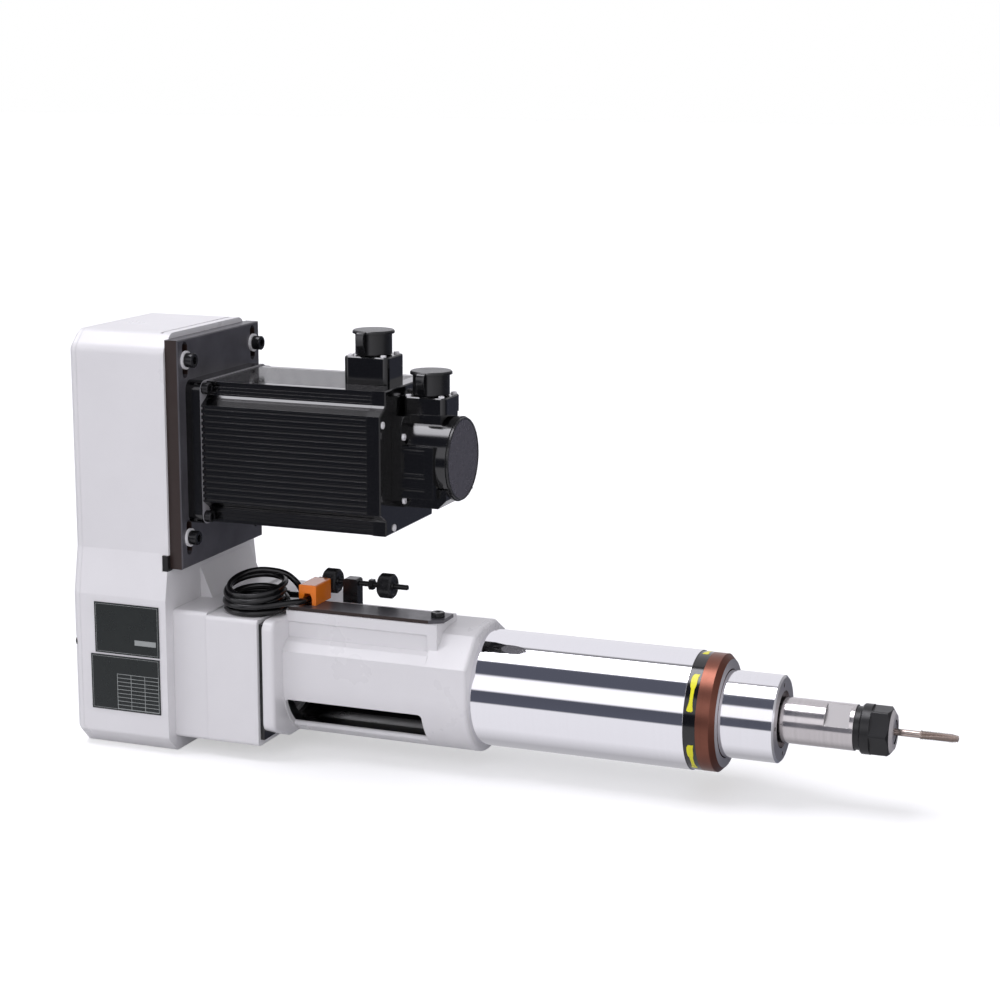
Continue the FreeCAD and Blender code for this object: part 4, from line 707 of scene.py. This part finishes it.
def add_strap(name, cap, degrees, body):
    """A moulded strap from the cap's lid down its side to the connector's flange."""
    low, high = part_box(cap)
    centre = (low + high) / 2
    lid = (high.x - low.x) / 2
    # distance beyond the lid's rim, and depth below the lid's top
    route = [(-5.0, 0.7), (-2.5, 0.62), (0.0, 0.7), (1.5, 1.4), (2.5, 3.2), (2.9, 5.8), (2.6, 8.4), (1.7, 11.0),
             (0.5, 13.4)]
    path = [(lid + out * MM, high.z - down * MM) for out, down in route]
    path += [(lid - 0.6 * MM, low.z + 1.2 * MM), (lid - 0.8 * MM, low.z + 0.3 * MM)]
    half_wide = 3.2 * MM
    half_thick = 0.6 * MM
    corner = 0.3 * MM
    out = Vector((math.cos(math.radians(degrees)), math.sin(math.radians(degrees)), 0))
    side = Vector((-out.y, out.x, 0))
    points = [centre.to_2d().to_3d() + out * r + Vector((0, 0, z)) for r, z in path]
    rows = []
    for i, point in enumerate(points):
        run = points[min(i + 1, len(points) - 1)] - points[max(i - 1, 0)]
        thick = run.normalized().cross(side)
        row = []
        for u, v in ((-1, -1), (1, -1), (1, 1), (-1, 1)):
            for a, b in ((corner, 0), (0, corner)) if u * v > 0 else ((0, corner), (corner, 0)):
                row.append(point + side * u * (half_wide - a) + thick * v * (half_thick - b))
        rows.append(row)
    bm = bmesh.new()
    rings_of(bm, rows)
    strap = add_piece(name, mesh_from(bm, name), LOOK["black_rubber"], body)
    soften = strap.modifiers.new("soften", "SUBSURF")
    soften.levels = 2
    soften.render_levels = 2


add_strap("power_strap", "power_dust_cap", 260, "power_cap")
add_strap("signal_strap", "signal_dust_cap", 266, "signal_cap")


def finish_tap():
    """The tap's thread and three flutes, as a real helical surface."""
    low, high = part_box("tap")
    tip = high.x
    thread_start = 0.2963
    pitch = 1.0 * MM
    outer = 2.98 * MM
    deep = 0.55 * MM
    shank = 2.25 * MM

    def radius_at(x, r, angle):
        if x < thread_start or x >= tip:
            return r
        phase = (x / pitch - angle / TURN) % 1.0
        profile = 1 - abs(2 * phase - 1)
        ramp = min(1.0, (x - thread_start) / (1.2 * MM))
        crest = outer - max(0.0, x - (tip - 4.5 * MM)) * 0.17
        r = crest - deep * min(1.0, profile * 1.25) * ramp
        flute = max(0.0, math.cos(3 * (angle + 40 * x)))
        fade = min(1.0, max(0.0, (x - thread_start + 3 * MM) / (4 * MM)))
        r -= 1.15 * MM * flute ** 3 * fade
        return max(r, 1.2 * MM)

    stations = [low.x, thread_start - 1.0 * MM] + spaced(thread_start - 0.9 * MM, tip - 0.4 * MM, 200)
    profile = [(x, shank) for x in stations] + [(tip, 0.7 * MM)]
    mesh = surface_of_turn("tap_threaded", profile, 60, shape=radius_at)
    piece = add_piece("tap_threaded", mesh, LOOK["tap_steel"], "spindle")
    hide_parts("tap")


finish_tap()


def finish_trip_rod():
    """The trip rod's thread and its two knurled knobs."""
    low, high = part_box("trip_rod")
    axis = ((low.y + high.y) / 2, (low.z + high.z) / 2)
    crest = (high.z - low.z) / 2
    pitch = 0.8 * MM
    chamfer = 0.5 * MM

    def thread(x, r, angle):
        wave = abs(2 * ((x / pitch - angle / TURN) % 1.0) - 1)
        return r - 0.32 * MM * wave

    inner = crest - chamfer * 0.6
    profile = [(low.x, inner), (low.x + chamfer, crest)]
    profile += [(x, crest) for x in spaced(low.x + chamfer * 1.4, high.x - chamfer * 1.4, 440)]
    profile += [(high.x - chamfer, crest), (high.x, inner)]
    mesh = surface_of_turn("trip_rod_threaded", profile, 24, axis, thread)
    rod = add_piece("trip_rod_threaded", mesh, LOOK["black_steel"], "quill")
    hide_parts("trip_rod")

    teeth = 64
    for label, body in (("trip_knob_rear", "rear_knob"), ("trip_knob_front", "front_knob")):
        low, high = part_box(label)
        wide = (high.z - low.z) / 2
        edge = 1.3 * MM
        hub = crest + 1.2 * MM
        dish = 0.7 * MM

        def knurl(x, r, angle):
            if r < wide - 0.05 * MM:
                return r
            return r - 0.30 * MM * (0.5 + 0.5 * math.cos(teeth * angle))

        profile = [(low.x, crest * 0.9), (low.x, wide - edge), (low.x + edge, wide)]
        profile += [(x, wide) for x in spaced(low.x + edge * 1.2, high.x - edge * 1.2, 4)]
        profile += [(high.x - edge, wide), (high.x, wide - edge), (high.x, wide - 2.0 * edge),
                    (high.x - dish, wide - 2.6 * edge), (high.x - dish, hub + 0.3 * MM), (high.x, hub),
                    (high.x, crest * 0.9)]
        name = label + "_knurled"
        mesh = surface_of_turn(name, profile, teeth * 4, axis, knurl)
        knob = add_piece(name, mesh, LOOK["black_steel"], body, smooth=False)
        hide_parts(label)


finish_trip_rod()


# Stage: pale floor and a studio world
FLOOR_AT = cad_low.z - 0.05 * MM


def make_floor():
    bm = bmesh.new()
    reach = 14.0
    corners = [(-reach, -reach), (reach, -reach), (reach, reach), (-reach, reach)]
    bm.faces.new([bm.verts.new((x, y, FLOOR_AT)) for x, y in corners])
    mesh = mesh_from(bm, "floor")
    floor = bpy.data.objects.new("floor", mesh)
    bpy.context.scene.collection.objects.link(floor)
    material = bpy.data.materials.new("floor")
    material.use_nodes = True
    nodes = material.node_tree.nodes
    links = material.node_tree.links
    nodes.clear()
    output = nodes.new("ShaderNodeOutputMaterial")
    paper = nodes.new("ShaderNodeBsdfDiffuse")
    paper.inputs["Color"].default_value = (0.62, 0.62, 0.625, 1)
    glow = nodes.new("ShaderNodeEmission")
    glow.inputs["Color"].default_value = (1, 1, 1, 1)
    glow.inputs["Strength"].default_value = 0.46
    both = nodes.new("ShaderNodeAddShader")
    links.new(paper.outputs[0], both.inputs[0])
    links.new(glow.outputs[0], both.inputs[1])
    path = nodes.new("ShaderNodeLightPath")
    seen = nodes.new("ShaderNodeMixShader")
    links.new(path.outputs["Is Camera Ray"], seen.inputs["Fac"])
    links.new(paper.outputs[0], seen.inputs[1])
    links.new(both.outputs[0], seen.inputs[2])
    clear = nodes.new("ShaderNodeBsdfTransparent")
    mirror = nodes.new("ShaderNodeMixShader")
    links.new(path.outputs["Is Glossy Ray"], mirror.inputs["Fac"])
    links.new(seen.outputs[0], mirror.inputs[1])
    links.new(clear.outputs[0], mirror.inputs[2])
    links.new(mirror.outputs[0], output.inputs["Surface"])
    mesh.materials.append(material)


# Studio by angle round the spindle's axis, from the viewer's side over the top: degrees, brightness.
# STRIPES is the fan of directions that turned metal mirrors towards the viewer; SOFT is the rest of the studio.
STRIPES = [
    (-180, 0.82), (-150, 0.50), (-112, 0.46), (-72, 0.84), (-18, 0.86), (-16, 0.10), (6, 0.09), (9, 1.16),
    (36, 1.16), (40, 0.10), (66, 0.10), (74, 6.5), (101, 6.5), (103, 0.24), (107, 0.24), (110, 0.88),
    (180, 0.86),
]
SOFT = [
    (-180, 0.12), (-150, 0.14), (-90, 0.40), (-20, 0.80), (0, 1.15), (20, 1.38), (40, 1.36), (56, 0.95),
    (66, 0.80), (110, 0.66), (130, 0.46), (150, 0.42), (160, 0.45), (180, 0.45),
]
STUDIO_PEAK = 8.0
# The fan's middle and half width along X, as parts of a direction of length 1, and its soft edge
FAN_MIDDLE = -0.349
FAN_HALF = 0.17
FAN_EDGE = 0.09
SIDE_DARK = 0.66
COOL_DARK = (0.92, 0.97, 1.28)
LILAC_LIGHT = (0.985, 0.975, 1.03)


def studio_ramp(nodes, links, share, table):
    ramp = nodes.new("ShaderNodeValToRGB")
    stops = ramp.color_ramp.elements
    while len(stops) < len(table):
        stops.new(0.5)
    for stop, (degrees, level) in zip(stops, table):
        tint = COOL_DARK if level < 0.2 else LILAC_LIGHT
        stop.position = (degrees + 180) / 360
        stop.color = (*(level / STUDIO_PEAK * part for part in tint), 1)
    links.new(share, ramp.inputs["Fac"])
    return ramp.outputs["Color"]


def make_world():
    world = bpy.data.worlds.new("studio")
    bpy.context.scene.world = world
    world.use_nodes = True
    nodes = world.node_tree.nodes
    links = world.node_tree.links
    nodes.clear()

    def maths(kind, first, second):
        node = nodes.new("ShaderNodeMath")
        node.operation = kind
        for socket, value in zip(node.inputs, (first, second)):
            if isinstance(value, (int, float)):
                socket.default_value = value
            else:
                links.new(value, socket)
        return node.outputs[0]

    def remap(value, *limits):
        node = nodes.new("ShaderNodeMapRange")
        for name, limit in zip(("From Min", "From Max", "To Min", "To Max"), limits):
            node.inputs[name].default_value = limit
        links.new(value, node.inputs["Value"])
        return node.outputs["Result"]

    place = nodes.new("ShaderNodeTexCoord")
    split = nodes.new("ShaderNodeSeparateXYZ")
    links.new(place.outputs["Generated"], split.inputs[0])
    angle = maths("ARCTAN2", split.outputs["Z"], maths("MULTIPLY", split.outputs["Y"], -1))
    share = remap(angle, -math.pi, math.pi, 0, 1)
    off_fan = maths("ABSOLUTE", maths("SUBTRACT", split.outputs["X"], FAN_MIDDLE), 0)
    mix = nodes.new("ShaderNodeMix")
    mix.data_type = "RGBA"
    links.new(remap(off_fan, FAN_HALF, FAN_HALF + FAN_EDGE, 0, 1), mix.inputs["Factor"])
    ends = [socket for socket in mix.inputs if socket.type == "RGBA"]
    links.new(studio_ramp(nodes, links, share, STRIPES), ends[0])
    links.new(studio_ramp(nodes, links, share, SOFT), ends[1])
    light = nodes.new("ShaderNodeBackground")
    links.new([socket for socket in mix.outputs if socket.type == "RGBA"][0], light.inputs["Color"])
    strength = remap(split.outputs["X"], 0.0, 0.8, STUDIO_PEAK, STUDIO_PEAK * SIDE_DARK)
    links.new(strength, light.inputs["Strength"])
    white = nodes.new("ShaderNodeBackground")
    white.inputs["Color"].default_value = (1, 1, 1, 1)
    white.inputs["Strength"].default_value = 1.0
    path = nodes.new("ShaderNodeLightPath")
    seen = nodes.new("ShaderNodeMixShader")
    links.new(path.outputs["Is Camera Ray"], seen.inputs["Fac"])
    links.new(light.outputs[0], seen.inputs[1])
    links.new(white.outputs[0], seen.inputs[2])
    output = nodes.new("ShaderNodeOutputWorld")
    links.new(seen.outputs[0], output.inputs["Surface"])


make_floor()
make_world()
bpy.context.scene.view_settings.view_transform = "Standard"
